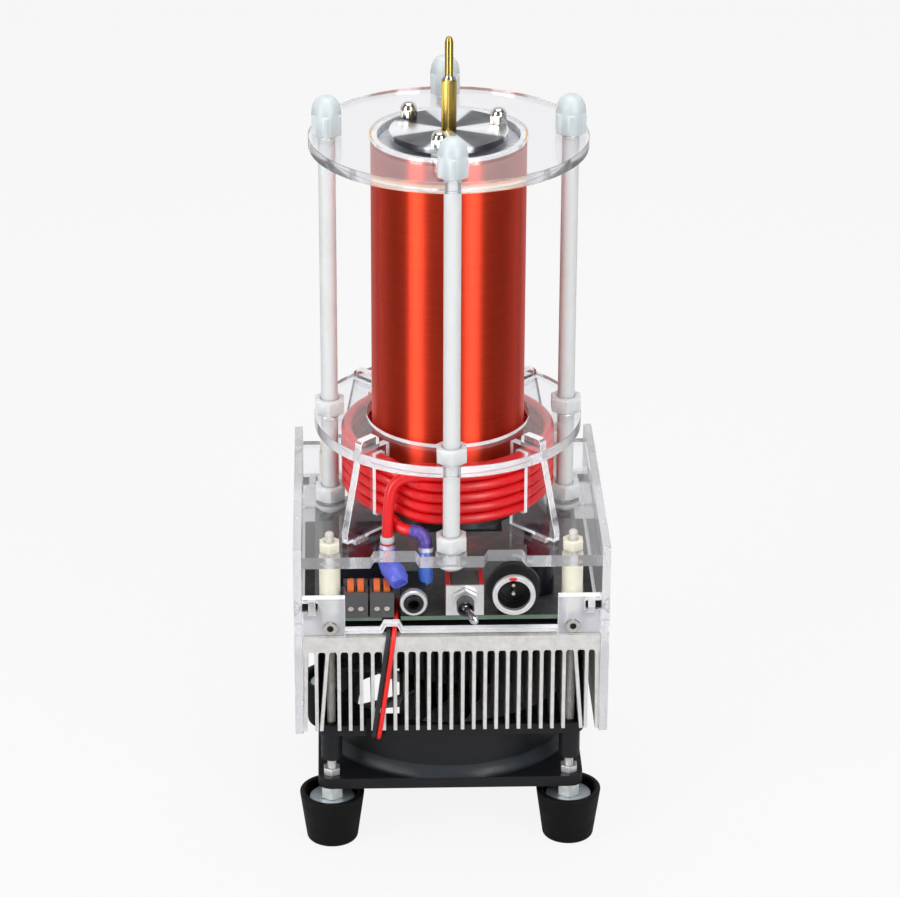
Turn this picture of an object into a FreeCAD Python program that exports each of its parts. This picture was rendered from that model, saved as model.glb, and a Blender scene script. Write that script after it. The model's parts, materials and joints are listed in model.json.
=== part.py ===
import FreeCAD, Part
import math
import os
import re

import Sketcher

# A desktop resonant transformer: four rubber feet, an axial fan, a finned heatsink with a driver
# board on it, a clear acrylic deck, four nylon posts that carry two clear rings, a primary of a few
# thick turns and a tall fine-wire secondary with a turned electrode and a brass point on top.
# Millimetres. The origin is on the floor under the secondary's axis, +Z is up and the controls
# face -Y.

Vector = FreeCAD.Vector

SIZES = [
    # Feet
    ("foot_height", 18.2, "rubber foot, floor to rim"),
    ("foot_top", 22.8, "foot's diameter at the rim"),
    ("foot_bottom", 17.8, "foot's diameter on the floor"),
    ("foot_bevel", 0.8, "bevel of the foot's two outer rims"),
    ("foot_cup", 16.8, "diameter of the cup in the foot's top"),
    ("foot_cup_depth", 3.4, "depth of that cup"),
    ("head_recess", 8.0, "diameter of the screw head's recess under the foot"),
    ("head_recess_depth", 6.0, "depth of that recess"),
    ("foot_washer_across", 15.6, "steel washer in the cup"),
    ("foot_washer_thickness", 1.0, "its thickness"),
    ("foot_standoff_across", 7.0, "hex standoff under the fan, across flats"),
    ("foot_standoff_length", 5.2, "its length"),
    # Long corner bolts and their stack
    ("bolt_diameter", 3.0, "long corner bolt"),
    ("bolt_head", 5.8, "its head's diameter"),
    ("bolt_head_height", 2.6, "its head's height"),
    ("bolt_tip", 3.2, "bolt that shows above the deck nut"),
    ("bolt_clearance", 0.2, "radial clearance round every M3 shank"),
    ("corner_standoff_across", 5.5, "hex standoff on the heatsink, across flats"),
    ("corner_standoff_length", 7.0, "its length"),
    ("corner_spacer_diameter", 7.2, "nylon spacer under the deck"),
    ("corner_spacer_length", 18.0, "its length"),
    ("corner_nut_across", 6.6, "nylon nut on the deck, across flats"),
    ("corner_nut_height", 3.6, "its height"),
    # Fan
    ("fan_size", 92.0, "square fan frame"),
    ("fan_depth", 25.0, "frame, floor side to heatsink side"),
    ("fan_hole_spacing", 82.5, "mounting holes, centre to centre"),
    ("fan_hole", 4.3, "mounting hole's diameter"),
    ("fan_flange", 4.0, "thickness of each square flange"),
    ("fan_bore", 88.0, "duct's inner diameter"),
    ("fan_wall", 1.6, "duct's wall"),
    ("fan_corner", 4.5, "rounding of the flange's corners"),
    ("boss_wall", 1.5, "sleeve that hangs from the upper flange round each corner bolt"),
    ("boss_gap", 4.1, "bare bolt between that sleeve and the nut below"),
    ("hub_diameter", 34.0, "rotor hub and the motor plate below it"),
    ("hub_wall", 1.4, "wall of the rotor's cup"),
    ("hub_gap", 0.6, "rotor cup to motor plate"),
    ("motor_plate", 3.0, "thickness of motor plate and struts"),
    ("strut_width", 4.0, "width of a strut"),
    ("shaft_diameter", 3.0, "rotor shaft"),
    ("shaft_clearance", 0.06, "radial clearance in the bearing tube"),
    ("bearing_tube", 7.0, "bearing tube's outer diameter"),
    ("blade_count", 7, "blades on the rotor"),
    ("blade_thickness", 1.3, "a blade's thickness"),
    ("blade_chord", 20.0, "a blade's width along the hub"),
    ("blade_rise_root", 12.0, "height a blade climbs at the hub"),
    ("blade_rise_tip", 7.0, "height a blade climbs at its tip"),
    ("blade_camber", 1.6, "bow of a blade's section"),
    ("blade_gap", 0.9, "blade tip to duct"),
    # Heatsink
    ("sink_width", 101.2, "heatsink, left to right"),
    ("sink_depth", 98.8, "heatsink, front to back"),
    ("sink_base", 5.6, "thickness of its base"),
    ("fin_height", 30.5, "fins below the base"),
    ("fin_count", 27, "fins"),
    ("fin_thickness", 1.2, "a fin's thickness"),
    ("fin_root_rounding", 0.9, "flare at the root of a fin"),
    ("fin_splay", 2.3, "how far the fins beside the bolts are bent at the tip"),
    # Board
    ("board_width", 93.0, "circuit board, left to right"),
    ("board_depth", 89.0, "circuit board, front to back"),
    ("board_thickness", 1.6, "its thickness"),
    ("board_lift", 3.9, "standoffs under it"),
    ("board_standoff", 5.0, "their diameter"),
    ("board_hole_x", 85.0, "board screws, left to right"),
    ("board_hole_y", 54.0, "board screws, front to back"),
    ("board_notch_clearance", 0.8, "corner notch to the hex standoff"),
    ("board_lead_notch", 6.0, "notch in the front edge for the fan's lead"),
    ("board_window_width", 40.0, "cut-out over the transistors"),
    ("board_window_depth", 25.0, "cut-out, front to back"),
    ("board_window_inset", 17.5, "cut-out's centre from the board's rear edge"),
    # Clear sheets
    ("sheet_thickness", 2.8, "side plates, panels and primary supports"),
    ("sheet_clearance", 0.1, "gap where sheets meet the heatsink and each other"),
    ("plate_drop", 0.8, "side plates below the fin tips"),
    ("plate_rise", 4.6, "side plates above the deck"),
    ("plate_overhang", 1.6, "side plates beyond the heatsink, front and back"),
    ("panel_setback", 1.0, "panels behind the heatsink's front and back"),
    ("plate_corner", 2.0, "rounding of the side plates' corners"),
    ("panel_height", 14.4, "panel uprights above the heatsink"),
    ("panel_window", 72.4, "opening between a panel's uprights"),
    ("strip_lift", 1.0, "gap under a panel's bottom strip"),
    ("strip_height", 1.4, "that strip's height"),
    ("arch_x", 20.4, "cable arch in the front strip, left of the axis"),
    ("arch_width", 6.4, "clear width under the arch"),
    ("arch_height", 2.6, "how far the arch steps up"),
    ("panel_hole", 3.2, "round hole in each upright"),
    ("panel_hole_height", 3.4, "its centre above the heatsink"),
    ("tab_bottom", 1.2, "panel tab above the heatsink"),
    ("tab_height", 3.8, "height of a panel tab"),
    ("panel_screw_height", 11.0, "side screw into a panel, above the heatsink"),
    ("screw_diameter", 3.0, "black button-head screws"),
    ("screw_length", 8.0, "their shank under the head"),
    ("screw_head", 5.4, "their head's diameter"),
    ("screw_head_height", 1.7, "their head's height"),
    ("flush_head", 5.5, "countersunk head of a side screw"),
    ("flush_land", 0.3, "straight rim of that head"),
    ("nut_across", 5.5, "M3 nut, across flats"),
    ("nut_height", 2.4, "M3 nut, height"),
    ("nut_slack", 0.1, "clearance round a nut held in a sheet"),
    # Deck
    ("deck_thickness", 4.2, "clear deck"),
    ("deck_depth", 93.8, "deck, front to back"),
    ("recess_depth", 4.6, "the two recesses in its front edge"),
    ("recess_slant", 1.4, "sideways run of a recess's slanted ends"),
    ("recess_left_x", 19.2, "left recess's centre, left of the axis"),
    ("recess_left_width", 14.0, "left recess's width at the back"),
    ("recess_right_x", 18.2, "right recess's centre, right of the axis"),
    ("recess_right_width", 11.6, "right recess's width at the back"),
    ("lead_hole", 5.3, "holes for the primary's two leads"),
    # Posts and rings
    ("post_inset", 6.1, "front and rear posts' axes from the deck's edges"),
    ("post_diameter", 5.8, "nylon post"),
    ("post_clearance", 0.15, "radial clearance of a post in a sheet"),
    ("post_head", 10.8, "round head under the deck"),
    ("post_head_height", 2.7, "its height"),
    ("post_spigot", 4.8, "post's thin top end, through the upper ring"),
    ("post_spigot_grip", 7.0, "spigot inside the cap nut"),
    ("post_nut_across", 10.0, "nylon nuts, across flats"),
    ("post_nut_height", 5.4, "their height"),
    ("cap_nut_hex", 7.6, "straight part of a cap nut"),
    ("cap_nut_dome", 5.7, "domed part of a cap nut"),
    ("support_height", 28.9, "deck to lower ring"),
    ("ring_gap", 97.8, "lower ring to upper ring"),
    ("ring_thickness", 4.0, "both rings"),
    ("lower_ring_border", 5.2, "lower ring beyond the posts' axes"),
    ("upper_ring_border", 6.2, "upper ring beyond the posts' axes"),
    ("lower_ring_clearance", 1.75, "lower ring's bore round the secondary, radial"),
    ("upper_ring_clearance", 0.2, "upper ring's bore round the secondary, radial"),
    # Primary
    ("support_share", 0.625, "supports' inner edge, share of the way from winding to turns"),
    ("support_top", 9.6, "their outer edge under the ring, beyond the turns' middle"),
    ("support_foot", 0.8, "their outer edge on the deck, share of the way from turns to corner nut"),
    ("support_tab_inner", 0.4, "tab through the lower ring, inner edge beyond the turns' middle"),
    ("support_tab_width", 8.8, "tab through the lower ring"),
    ("support_tab_rise", 3.0, "tab above the lower ring"),
    ("support_key_inner", 0.23, "tab into the deck, inner edge, share of the same way"),
    ("support_key_outer", 0.572, "tab into the deck, outer edge, share of the same way"),
    ("slot_clearance", 0.12, "round tabs and the winding in their slots"),
    ("wire_diameter", 3.9, "primary's insulated wire"),
    ("turn_pitch", 4.0, "primary, turn to turn"),
    ("turn_count", 5, "primary's turns"),
    ("turn_gap", 0.95, "primary's outside to the posts"),
    ("turn_bottom", 6.3, "primary's lowest turn above the deck"),
    ("sleeve_diameter", 6.2, "blue sleeve on the lead from the top turn"),
    ("arch_sleeve_diameter", 4.4, "violet sleeve on the lead from the lowest turn"),
    # Secondary
    ("former_diameter", 51.8, "secondary's former"),
    ("former_wall", 1.9, "its wall"),
    ("former_shortfall", 0.3, "former's rim below the upper ring's top"),
    ("winding_thickness", 0.35, "enamelled wire on the former"),
    ("winding_margin", 2.0, "bare former at each end"),
    ("cap_thickness", 4.0, "plug in the top of the former"),
    ("cap_clearance", 0.05, "radial clearance of that plug"),
    ("cap_depth", 2.6, "plug's top below the former's rim"),
    # Electrode
    ("disc_diameter", 40.0, "turned electrode disc"),
    ("disc_thickness", 2.0, "its thickness"),
    ("disc_bevel", 0.35, "its top rim's bevel"),
    ("disc_screw_circle", 35.4, "circle of its three screws"),
    ("disc_screw_angle", 18.0, "first screw's angle from +X"),
    ("disc_nut_hex", 2.8, "straight part of a small cap nut"),
    ("disc_nut_dome", 2.6, "domed part of a small cap nut"),
    ("disc_nut_grip", 3.6, "screw inside a small cap nut"),
    ("point_standoff_across", 5.0, "brass hex under the point, across flats"),
    ("point_standoff_length", 17.7, "its length"),
    ("point_standoff_bevel", 0.7, "its top bevel"),
    ("point_diameter", 2.8, "brass point"),
    ("point_length", 14.3, "point above the hex"),
    ("point_grip", 6.0, "point inside the hex"),
    ("point_fit", 0.03, "radial clearance of the point in the hex"),
    # Toggle switch
    ("toggle_x", 4.6, "switch, right of the axis"),
    ("toggle_width", 13.0, "switch body"),
    ("toggle_depth", 12.0, "switch body, front to back"),
    ("toggle_height", 11.4, "switch body"),
    ("toggle_face", 44.4, "front of its metal frame, before the axis"),
    ("toggle_frame_thickness", 0.8, "metal frame"),
    ("toggle_axis_height", 6.0, "bushing's axis above the board"),
    ("bushing_diameter", 6.0, "threaded bushing"),
    ("bushing_length", 7.0, "bushing in front of the frame"),
    ("bushing_bore", 5.0, "its bore"),
    ("bushing_nut_across", 8.2, "its nut, across flats"),
    ("bushing_nut_height", 2.0, "its nut's height"),
    ("lever_pivot", 1.6, "lever's pivot behind the bushing's mouth"),
    ("lever_ball", 3.8, "ball at the pivot"),
    ("lever_root", 2.2, "lever's diameter at the bushing"),
    ("lever_tip", 3.0, "lever's diameter at its end"),
    ("lever_length", 11.6, "pivot to lever's end"),
    ("lever_angle", 15.0, "lever's throw to each side"),
    # Power socket
    ("socket_x", 21.0, "power socket, right of the axis"),
    ("socket_axis_height", 10.3, "its axis above the board"),
    ("socket_diameter", 14.6, "threaded shell"),
    ("socket_bore", 11.2, "shell's bore"),
    ("socket_mouth", 50.4, "shell's mouth before the axis"),
    ("socket_length", 12.0, "shell, front to back"),
    ("socket_flange", 18.4, "flange behind the shell's thread"),
    ("socket_flange_thickness", 2.0, "its thickness"),
    ("socket_flange_back", 5.6, "flange's front behind the mouth"),
    ("socket_foot_width", 10.0, "block that holds the shell on the board"),
    ("insert_recess", 5.8, "insert's face behind the mouth"),
    ("insert_clearance", 0.05, "radial clearance of the insert"),
    ("pin_diameter", 1.6, "contact pins"),
    ("pin_spacing", 3.2, "between the two pins"),
    ("pin_length", 1.2, "pins in front of the insert's face"),
    # Audio jack
    ("jack_x", 12.9, "audio jack, left of the axis"),
    ("jack_axis_height", 6.3, "its axis above the board"),
    ("jack_width", 8.6, "jack body"),
    ("jack_height", 10.6, "jack body"),
    ("jack_depth", 13.0, "jack body, front to back"),
    ("jack_face", 44.6, "jack body's front before the axis"),
    ("jack_nose", 6.2, "threaded nose's diameter"),
    ("jack_nose_length", 4.4, "its length"),
    ("jack_bore", 3.6, "plug's bore"),
    ("jack_bore_depth", 14.0, "its depth"),
    ("jack_nut_across", 8.0, "nut on the nose, across flats"),
    ("jack_nut_height", 2.4, "its height"),
    # Terminal blocks
    ("block_pitch", 8.9, "between the two terminal blocks"),
    ("block_x", 28.05, "middle of the pair, left of the axis"),
    ("block_width", 8.2, "a terminal block"),
    ("block_depth", 11.0, "block, front to back"),
    ("block_height", 9.4, "block, without its levers"),
    ("block_face", 45.4, "block's front before the axis"),
    ("wire_entry", 2.4, "diameter of a wire entry"),
    ("wire_entry_depth", 7.0, "its depth"),
    ("wire_entry_height", 3.2, "its centre above the board"),
    ("key_pitch", 3.4, "between the two levers of a block"),
    ("key_width", 2.3, "an orange lever"),
    ("key_depth", 4.4, "lever, front to back"),
    ("key_rise", 3.0, "lever above the block"),
    ("key_sunk", 2.0, "lever inside the block"),
    ("key_travel", 1.2, "how far a lever is pushed down"),
    ("key_clearance", 0.3, "round a lever in its slot"),
    ("key_set_back", 1.2, "lever's front behind the block's front"),
    # Parts on the board
    ("can_diameter", 10.0, "electrolytic capacitor"),
    ("can_height", 15.5, "its height"),
    ("can_x", 31.0, "capacitor cans, right of the axis"),
    ("can_y", 26.0, "front can, before the axis"),
    ("film_width", 18.0, "film capacitor"),
    ("film_thickness", 8.5, "film capacitor, front to back"),
    ("film_height", 14.0, "film capacitor"),
    ("film_x", 38.0, "film capacitors' left end, left of the axis"),
    ("film_y", 22.0, "front film capacitor's face, before the axis"),
    ("transistor_width", 15.6, "power transistor"),
    ("transistor_length", 20.0, "power transistor, front to back"),
    ("transistor_thickness", 5.0, "power transistor"),
    # Leads
    ("fan_wire", 1.7, "each of the fan's two wires"),
    ("lead_slant", 5.5, "how far the fan lead slants left on its way down"),
    ("lead_x", 21.6, "upper lead's hole in the deck, left of the axis"),
    ("lead_out", 1.2, "that hole beyond the turns' middle"),
    ("arch_lead_x", 8.6, "lower lead's hole in the deck, left of the axis"),
    ("arch_lead_out", 3.3, "that hole beyond the turns' middle"),
    ("arch_lead_rise", 5.0, "violet sleeve above the deck"),
]

NAMES = {alias for alias, _, _ in SIZES}

doc = FreeCAD.newDocument("resonant_transformer")
sizes = doc.addObject("Spreadsheet::Sheet", "sizes")
for row, (alias, size, meaning) in enumerate(SIZES, start=1):
    sizes.set(f"A{row}", alias)
    sizes.set(f"B{row}", str(size))
    sizes.set(f"C{row}", meaning)
    sizes.setAlias(f"B{row}", alias)
doc.recompute()


# Expressions

def cells(text):
    """The expression with each size's name pointing to its cell."""
    def pointed(word):
        return f"sizes.{word.group()}" if word.group() in NAMES else word.group()

    return re.sub(r"[A-Za-z_]\w*", pointed, text)


def number(text):
    """The expression's value now."""
    return float(doc.sizes.evalExpression(cells(str(text))))


def tie(item, prop, text):
    """Binds one property of an object to an expression."""
    item.setExpression(prop, cells(str(text)))


def place(item, x="0", y="0", z="0", rotation=None):
    """Puts an object where three expressions say."""
    if rotation is not None:
        item.Placement = FreeCAD.Placement(Vector(), rotation)
    tie(item, ".Placement.Base.x", x)
    tie(item, ".Placement.Base.y", y)
    tie(item, ".Placement.Base.z", z)
    return item


# Heights and places that several sub-parts share

CUP_FLOOR = "(foot_height - foot_cup_depth)"
FAN_FLOOR = f"({CUP_FLOOR} + foot_washer_thickness + foot_standoff_length)"
FAN_TOP = f"({FAN_FLOOR} + fan_depth)"
FIN_ROOT = f"({FAN_TOP} + fin_height)"
SINK_TOP = f"({FIN_ROOT} + sink_base)"
BOARD_FLOOR = f"({SINK_TOP} + board_lift)"
BOARD_TOP = f"({BOARD_FLOOR} + board_thickness)"
DECK_FLOOR = f"({SINK_TOP} + corner_standoff_length + corner_spacer_length)"
DECK_TOP = f"({DECK_FLOOR} + deck_thickness)"
RING_FLOOR = f"({DECK_TOP} + support_height)"
RING_TOP = f"({RING_FLOOR} + ring_thickness)"
CROWN_FLOOR = f"({RING_TOP} + ring_gap)"
CROWN_TOP = f"({CROWN_FLOOR} + ring_thickness)"
COIL_TOP = f"({CROWN_TOP} - former_shortfall)"
CAP_TOP = f"({COIL_TOP} - cap_depth)"
DISC_FLOOR = f"({CAP_TOP} + nut_height)"
DISC_TOP = f"({DISC_FLOOR} + disc_thickness)"
CORNER = "(fan_hole_spacing / 2)"
POST = "(deck_depth / 2 - post_inset)"
SHANK_HOLE = "(bolt_diameter / 2 + bolt_clearance)"
POST_HOLE = "(post_diameter / 2 + post_clearance)"
PLATE_INNER = "(sink_width / 2 + sheet_clearance)"
PLATE_OUTER = f"({PLATE_INNER} + sheet_thickness)"
SHEET_EDGE = f"({PLATE_INNER} - sheet_clearance)"
PANEL_OUTER = "(sink_depth / 2 - panel_setback)"
PANEL_INNER = f"({PANEL_OUTER} - sheet_thickness)"
PANEL_MIDDLE = f"({PANEL_INNER} + sheet_thickness / 2)"
PLATE_END = "(sink_depth / 2 + plate_overhang)"
BOARD_END = "(board_depth / 2)"
WINDOW_Y = f"({BOARD_END} - board_window_inset)"
PANEL_SCREW = f"({SINK_TOP} + panel_screw_height)"
TOGGLE_AXIS = f"({BOARD_TOP} + toggle_axis_height)"
SOCKET_AXIS = f"({BOARD_TOP} + socket_axis_height)"
JACK_AXIS = f"({BOARD_TOP} + jack_axis_height)"
TURNS_FLOOR = f"({DECK_TOP} + turn_bottom)"
TURNS_TOP = f"({TURNS_FLOOR} + (turn_count - 1) * turn_pitch + wire_diameter)"
TURN_RADIUS = f"({POST} - post_diameter / 2 - turn_gap - wire_diameter / 2)"
WOUND = "(former_diameter / 2 + winding_thickness)"
SUPPORT_INNER = f"({WOUND} + support_share * ({TURN_RADIUS} - wire_diameter / 2 - {WOUND}))"
TAB_INNER = f"({TURN_RADIUS} + support_tab_inner)"
TAB_OUTER = f"({TAB_INNER} + support_tab_width)"
TURNS_EDGE = f"({TURN_RADIUS} + wire_diameter / 2)"
TO_CORNER_NUT = f"({CORNER} * sqrt(2) - corner_nut_across / sqrt(3) - {TURNS_EDGE})"
SUPPORT_FOOT = f"({TURNS_EDGE} + support_foot * {TO_CORNER_NUT})"
KEY_INNER = f"({TURNS_EDGE} + support_key_inner * {TO_CORNER_NUT})"
KEY_OUTER = f"({TURNS_EDGE} + support_key_outer * {TO_CORNER_NUT})"

NUT_DEPTH = "((screw_length - sheet_thickness - nut_height - nut_slack) * 0.7)"
SLOT_DEPTH = "(screw_length - sheet_thickness + sheet_clearance)"

QUARTERS = [("1", "1"), ("-1", "1"), ("-1", "-1"), ("1", "-1")]
SUPPORT_ANGLES = {"front_left": -135, "front_right": -45, "rear_right": 45, "rear_left": 135}

# Where the primary's two leads pass through the deck
LEAD_HOLE = ("-lead_x", f"-({TURN_RADIUS} + lead_out)")
ARCH_HOLE = ("-arch_lead_x", f"-({TURN_RADIUS} + arch_lead_out)")


# Bodies, sketches and features

def new_body(name):
    body = doc.addObject("PartDesign::Body", name)
    body.Label = name
    return body


def sketch(body, name, plane, shift="0"):
    """An empty sketch on one of the body's own origin planes, moved along its normal."""
    drawing = body.newObject("Sketcher::SketchObject", name)
    support = [item for item in body.Origin.OriginFeatures if item.Role == plane][0]
    drawing.AttachmentSupport = [(support, "")]
    drawing.MapMode = "FlatFace"
    tie(drawing, ".AttachmentOffset.Base.z", shift)
    return drawing


def measure(drawing, kind, text, *targets):
    """A dimension that follows an expression."""
    index = drawing.addConstraint(Sketcher.Constraint(kind, *targets, number(text)))
    tie(drawing, f"Constraints[{index}]", text)


def pin(drawing, edge, end, x, y):
    """Holds one point of a sketch at two expressions from its origin."""
    measure(drawing, "DistanceX", x, -1, 1, edge, end)
    measure(drawing, "DistanceY", y, -1, 1, edge, end)


def outline(drawing, corners):
    """A closed outline with straight sides between corners given as expressions."""
    points = [Vector(number(x), number(y), 0) for x, y in corners]
    first = drawing.GeometryCount
    count = len(points)
    for index in range(count):
        drawing.addGeometry(Part.LineSegment(points[index], points[(index + 1) % count]))
    for index in range(count):
        following = first + (index + 1) % count
        drawing.addConstraint(Sketcher.Constraint("Coincident", first + index, 2, following, 1))
    for index, (x, y) in enumerate(corners):
        pin(drawing, first + index, 1, x, y)


def rectangle(drawing, left, bottom, right, top):
    outline(drawing, [(left, bottom), (right, bottom), (right, top), (left, top)])


def circle(drawing, x, y, radius):
    centre = Vector(number(x), number(y), 0)
    edge = drawing.addGeometry(Part.Circle(centre, Vector(0, 0, 1), number(radius)))
    pin(drawing, edge, 3, x, y)
    measure(drawing, "Radius", radius, edge)


def hexagon(drawing, across, x="0", y="0"):
    """A hexagon with two flats square to the sketch's first axis."""
    half = f"({across}) / 2"
    corner = f"({across}) / sqrt(3)"
    steps = [(half, f"{corner} / 2"), ("0", corner), (f"-{half}", f"{corner} / 2")]
    steps += [(f"-{half}", f"-{corner} / 2"), ("0", f"-{corner}"), (half, f"-{corner} / 2")]
    outline(drawing, [(f"{x} + ({dx})", f"{y} + ({dy})") for dx, dy in steps])


def feature(body, kind, name, drawing, **links):
    """A sketch-based feature whose lengths follow expressions."""
    item = body.newObject(f"PartDesign::{kind}", name)
    item.Profile = drawing
    for prop, text in links.items():
        tie(item, prop, text)
    body.Tip = item
    return item


def pad(body, name, drawing, length, **settings):
    item = feature(body, "Pad", name, drawing, Length=length)
    for prop, value in settings.items():
        setattr(item, prop, value)
    return item


def pocket(body, name, drawing, length, **settings):
    """Cuts both ways from the sketch's plane, and must take material away."""
    doc.recompute()
    before = body.Shape.Volume
    item = feature(body, "Pocket", name, drawing, Length=length)
    item.Midplane = True
    for prop, value in settings.items():
        setattr(item, prop, value)
    doc.recompute()
    if body.Shape.Volume >= before:
        raise ValueError(f"{body.Label}: {name} cuts nothing")
    return item


def turn(body, name, drawing, kind="Revolution"):
    item = feature(body, kind, name, drawing)
    item.ReferenceAxis = (drawing, ["V_Axis"])
    item.Angle = 360
    return item


def polar(body, name, original, count):
    """Repeats a feature evenly about the body's own Z axis."""
    item = body.newObject("PartDesign::PolarPattern", name)
    item.Originals = [original]
    item.Axis = ([axis for axis in body.Origin.OriginFeatures if axis.Role == "Z_Axis"][0], [""])
    item.Angle = 360
    tie(item, "Occurrences", count)
    body.Tip = item
    return item


def linear(body, name, original, length, count):
    """Repeats a feature along +X over a length."""
    item = body.newObject("PartDesign::LinearPattern", name)
    item.Originals = [original]
    item.Direction = ([axis for axis in body.Origin.OriginFeatures if axis.Role == "X_Axis"][0], [""])
    tie(item, "Length", length)
    tie(item, "Occurrences", count)
    body.Tip = item
    return item


def turned(name, profile):
    """A body turned about Z from its half profile, given as (radius, height) expressions."""
    body = new_body(name)
    drawing = sketch(body, f"{name}_profile", "XZ_Plane")
    outline(drawing, profile)
    turn(body, f"{name}_turned", drawing)
    return body


def rim(shape, radius, height, slack=0.02):
    """Names of the round edges of one radius at one height."""
    found = []
    for index, edge in enumerate(shape.Edges, start=1):
        curve = edge.Curve
        if isinstance(curve, Part.Circle) and abs(curve.Radius - radius) < slack:
            if abs(edge.BoundBox.ZMin - height) < slack and abs(edge.BoundBox.ZMax - height) < slack:
                found.append(f"Edge{index}")
    return found


def upright(shape, slack=0.02):
    """Names of the straight edges that run along Z."""
    found = []
    for index, edge in enumerate(shape.Edges, start=1):
        if isinstance(edge.Curve, Part.Line) and edge.BoundBox.XLength + edge.BoundBox.YLength < slack:
            found.append(f"Edge{index}")
    return found


def dress(body, kind, name, edges, amount):
    """A fillet or a chamfer on named edges of the body so far."""
    base = body.Tip
    item = body.newObject(f"PartDesign::{kind}", name)
    item.Base = (base, edges)
    tie(item, "Radius" if kind == "Fillet" else "Size", amount)
    body.Tip = item
    return item


# Primitives, booleans and groups

def cylinder(name, radius, height, x="0", y="0", z="0", rotation=None):
    item = doc.addObject("Part::Cylinder", name)
    tie(item, "Radius", radius)
    tie(item, "Height", height)
    return place(item, x, y, z, rotation)


def block(name, left, front, bottom, width, depth, height):
    item = doc.addObject("Part::Box", name)
    tie(item, "Length", width)
    tie(item, "Width", depth)
    tie(item, "Height", height)
    return place(item, left, front, bottom)


def fused(name, *pieces):
    item = doc.addObject("Part::MultiFuse", name)
    item.Shapes = list(pieces)
    item.Refine = True
    item.Label = name
    return item


def cut(name, base, *tools):
    item = doc.addObject("Part::Cut", name)
    item.Base = base
    item.Tool = tools[0] if len(tools) == 1 else fused(f"{name}_tools", *tools)
    item.Label = name
    return item


def group(name, pieces):
    """Separate solids that share one node."""
    item = doc.addObject("Part::Compound", name)
    item.Links = pieces
    item.Label = name
    return item


def copies(name, pattern, places, rotation=None):
    """Links to one piece, each at its own place."""
    made = []
    for index, (x, y, z) in enumerate(places):
        link = doc.addObject("App::Link", f"{name}_{index}")
        link.LinkedObject = pattern
        made.append(place(link, x, y, z, rotation))
    return made


def at_corners(z):
    return [(f"{sx} * {CORNER}", f"{sy} * {CORNER}", z) for sx, sy in QUARTERS]


def at_posts(z):
    return [(POST, "0", z), ("0", POST, z), (f"-{POST}", "0", z), ("0", f"-{POST}", z)]


def on_disc(z):
    """The electrode's three screws, a third of a turn apart."""
    places = []
    for third in range(3):
        angle = f"(disc_screw_angle + {120 * third})"
        radius = "disc_screw_circle / 2"
        places.append((f"{radius} * cos({angle} * 1deg)", f"{radius} * sin({angle} * 1deg)", z))
    return places


def hex_piece(name, across, height, bore):
    """A hexagonal nut or standoff with a through bore, standing on its own origin."""
    body = new_body(name)
    section = sketch(body, f"{name}_section", "XY_Plane")
    hexagon(section, across)
    circle(section, "0", "0", bore)
    pad(body, f"{name}_length", section, height)
    return body


def cap_nut(name, across, straight, dome, bore, depth):
    """A hexagonal nut closed by a dome, with a blind bore from below."""
    body = new_body(name)
    section = sketch(body, f"{name}_section", "XY_Plane")
    hexagon(section, across)
    pad(body, f"{name}_hex", section, straight)
    profile = sketch(body, f"{name}_dome_profile", "XZ_Plane")
    radius = f"(({across}) / 2)"
    shoulder = f"({straight} + {dome} * 0.45)"
    crown = f"({straight} + {dome} * 0.85)"
    outline(profile, [("0", f"{straight} / 2"), (radius, f"{straight} / 2"), (radius, straight),
                      (f"{radius} * 0.92", shoulder), (f"{radius} * 0.6", crown),
                      (f"{radius} * 0.25", f"{straight} + {dome}"), ("0", f"{straight} + {dome}")])
    turn(body, f"{name}_dome", profile)
    hole = sketch(body, f"{name}_hole", "XY_Plane")
    circle(hole, "0", "0", bore)
    pocket(body, f"{name}_bore", hole, f"2 * ({depth})")
    return body


def cord_path(points):
    """Straight runs through hand-chosen points, joined by arcs as large as the runs allow."""
    corners = [Vector(*point) for point in points]
    last = len(corners) - 1
    edges = []
    start = corners[0]
    for index in range(1, last):
        corner = corners[index]
        back = corners[index - 1] - corner
        ahead = corners[index + 1] - corner
        room_back = back.Length * (0.95 if index == 1 else 0.49)
        room_ahead = ahead.Length * (0.95 if index == last - 1 else 0.49)
        reach = min(room_back, room_ahead)
        back.normalize()
        ahead.normalize()
        radius = reach / math.tan((math.pi - back.getAngle(ahead)) / 2)
        middle = (back + ahead).normalize()
        centre = corner + middle * math.hypot(reach, radius)
        begin = corner + back * reach
        finish = corner + ahead * reach
        edges.append(Part.LineSegment(start, begin).toShape())
        edges.append(Part.Arc(begin, centre - middle * radius, finish).toShape())
        print(f"  bend radius {radius:.1f}")
        start = finish
    edges.append(Part.LineSegment(start, corners[-1]).toShape())
    return Part.Wire(edges)


def cord_solid(name, points, across):
    """A round cord along its path, with its volume proved against section times length."""
    print(name)
    path = cord_path(points)
    heading = (Vector(*points[1]) - Vector(*points[0])).normalize()
    radius = number(across) / 2
    section = Part.Wire([Part.makeCircle(radius, Vector(*points[0]), heading)])
    solid = path.makePipeShell([section], True, True)
    expected = math.pi * radius ** 2 * path.Length
    if abs(solid.Volume - expected) > 0.01 * expected:
        raise ValueError(f"{name}: the volume isn't section times length")
    return solid


def shaped(name, shape):
    """A sub-part whose shape is worked out here."""
    item = doc.addObject("Part::Feature", name)
    item.Shape = shape
    item.Label = name
    return item


parts = []


def keep(*items):
    """Adds finished sub-parts to those that are written."""
    parts.extend(items)
    return items[0]


# Feet and the stacks under the fan

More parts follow.
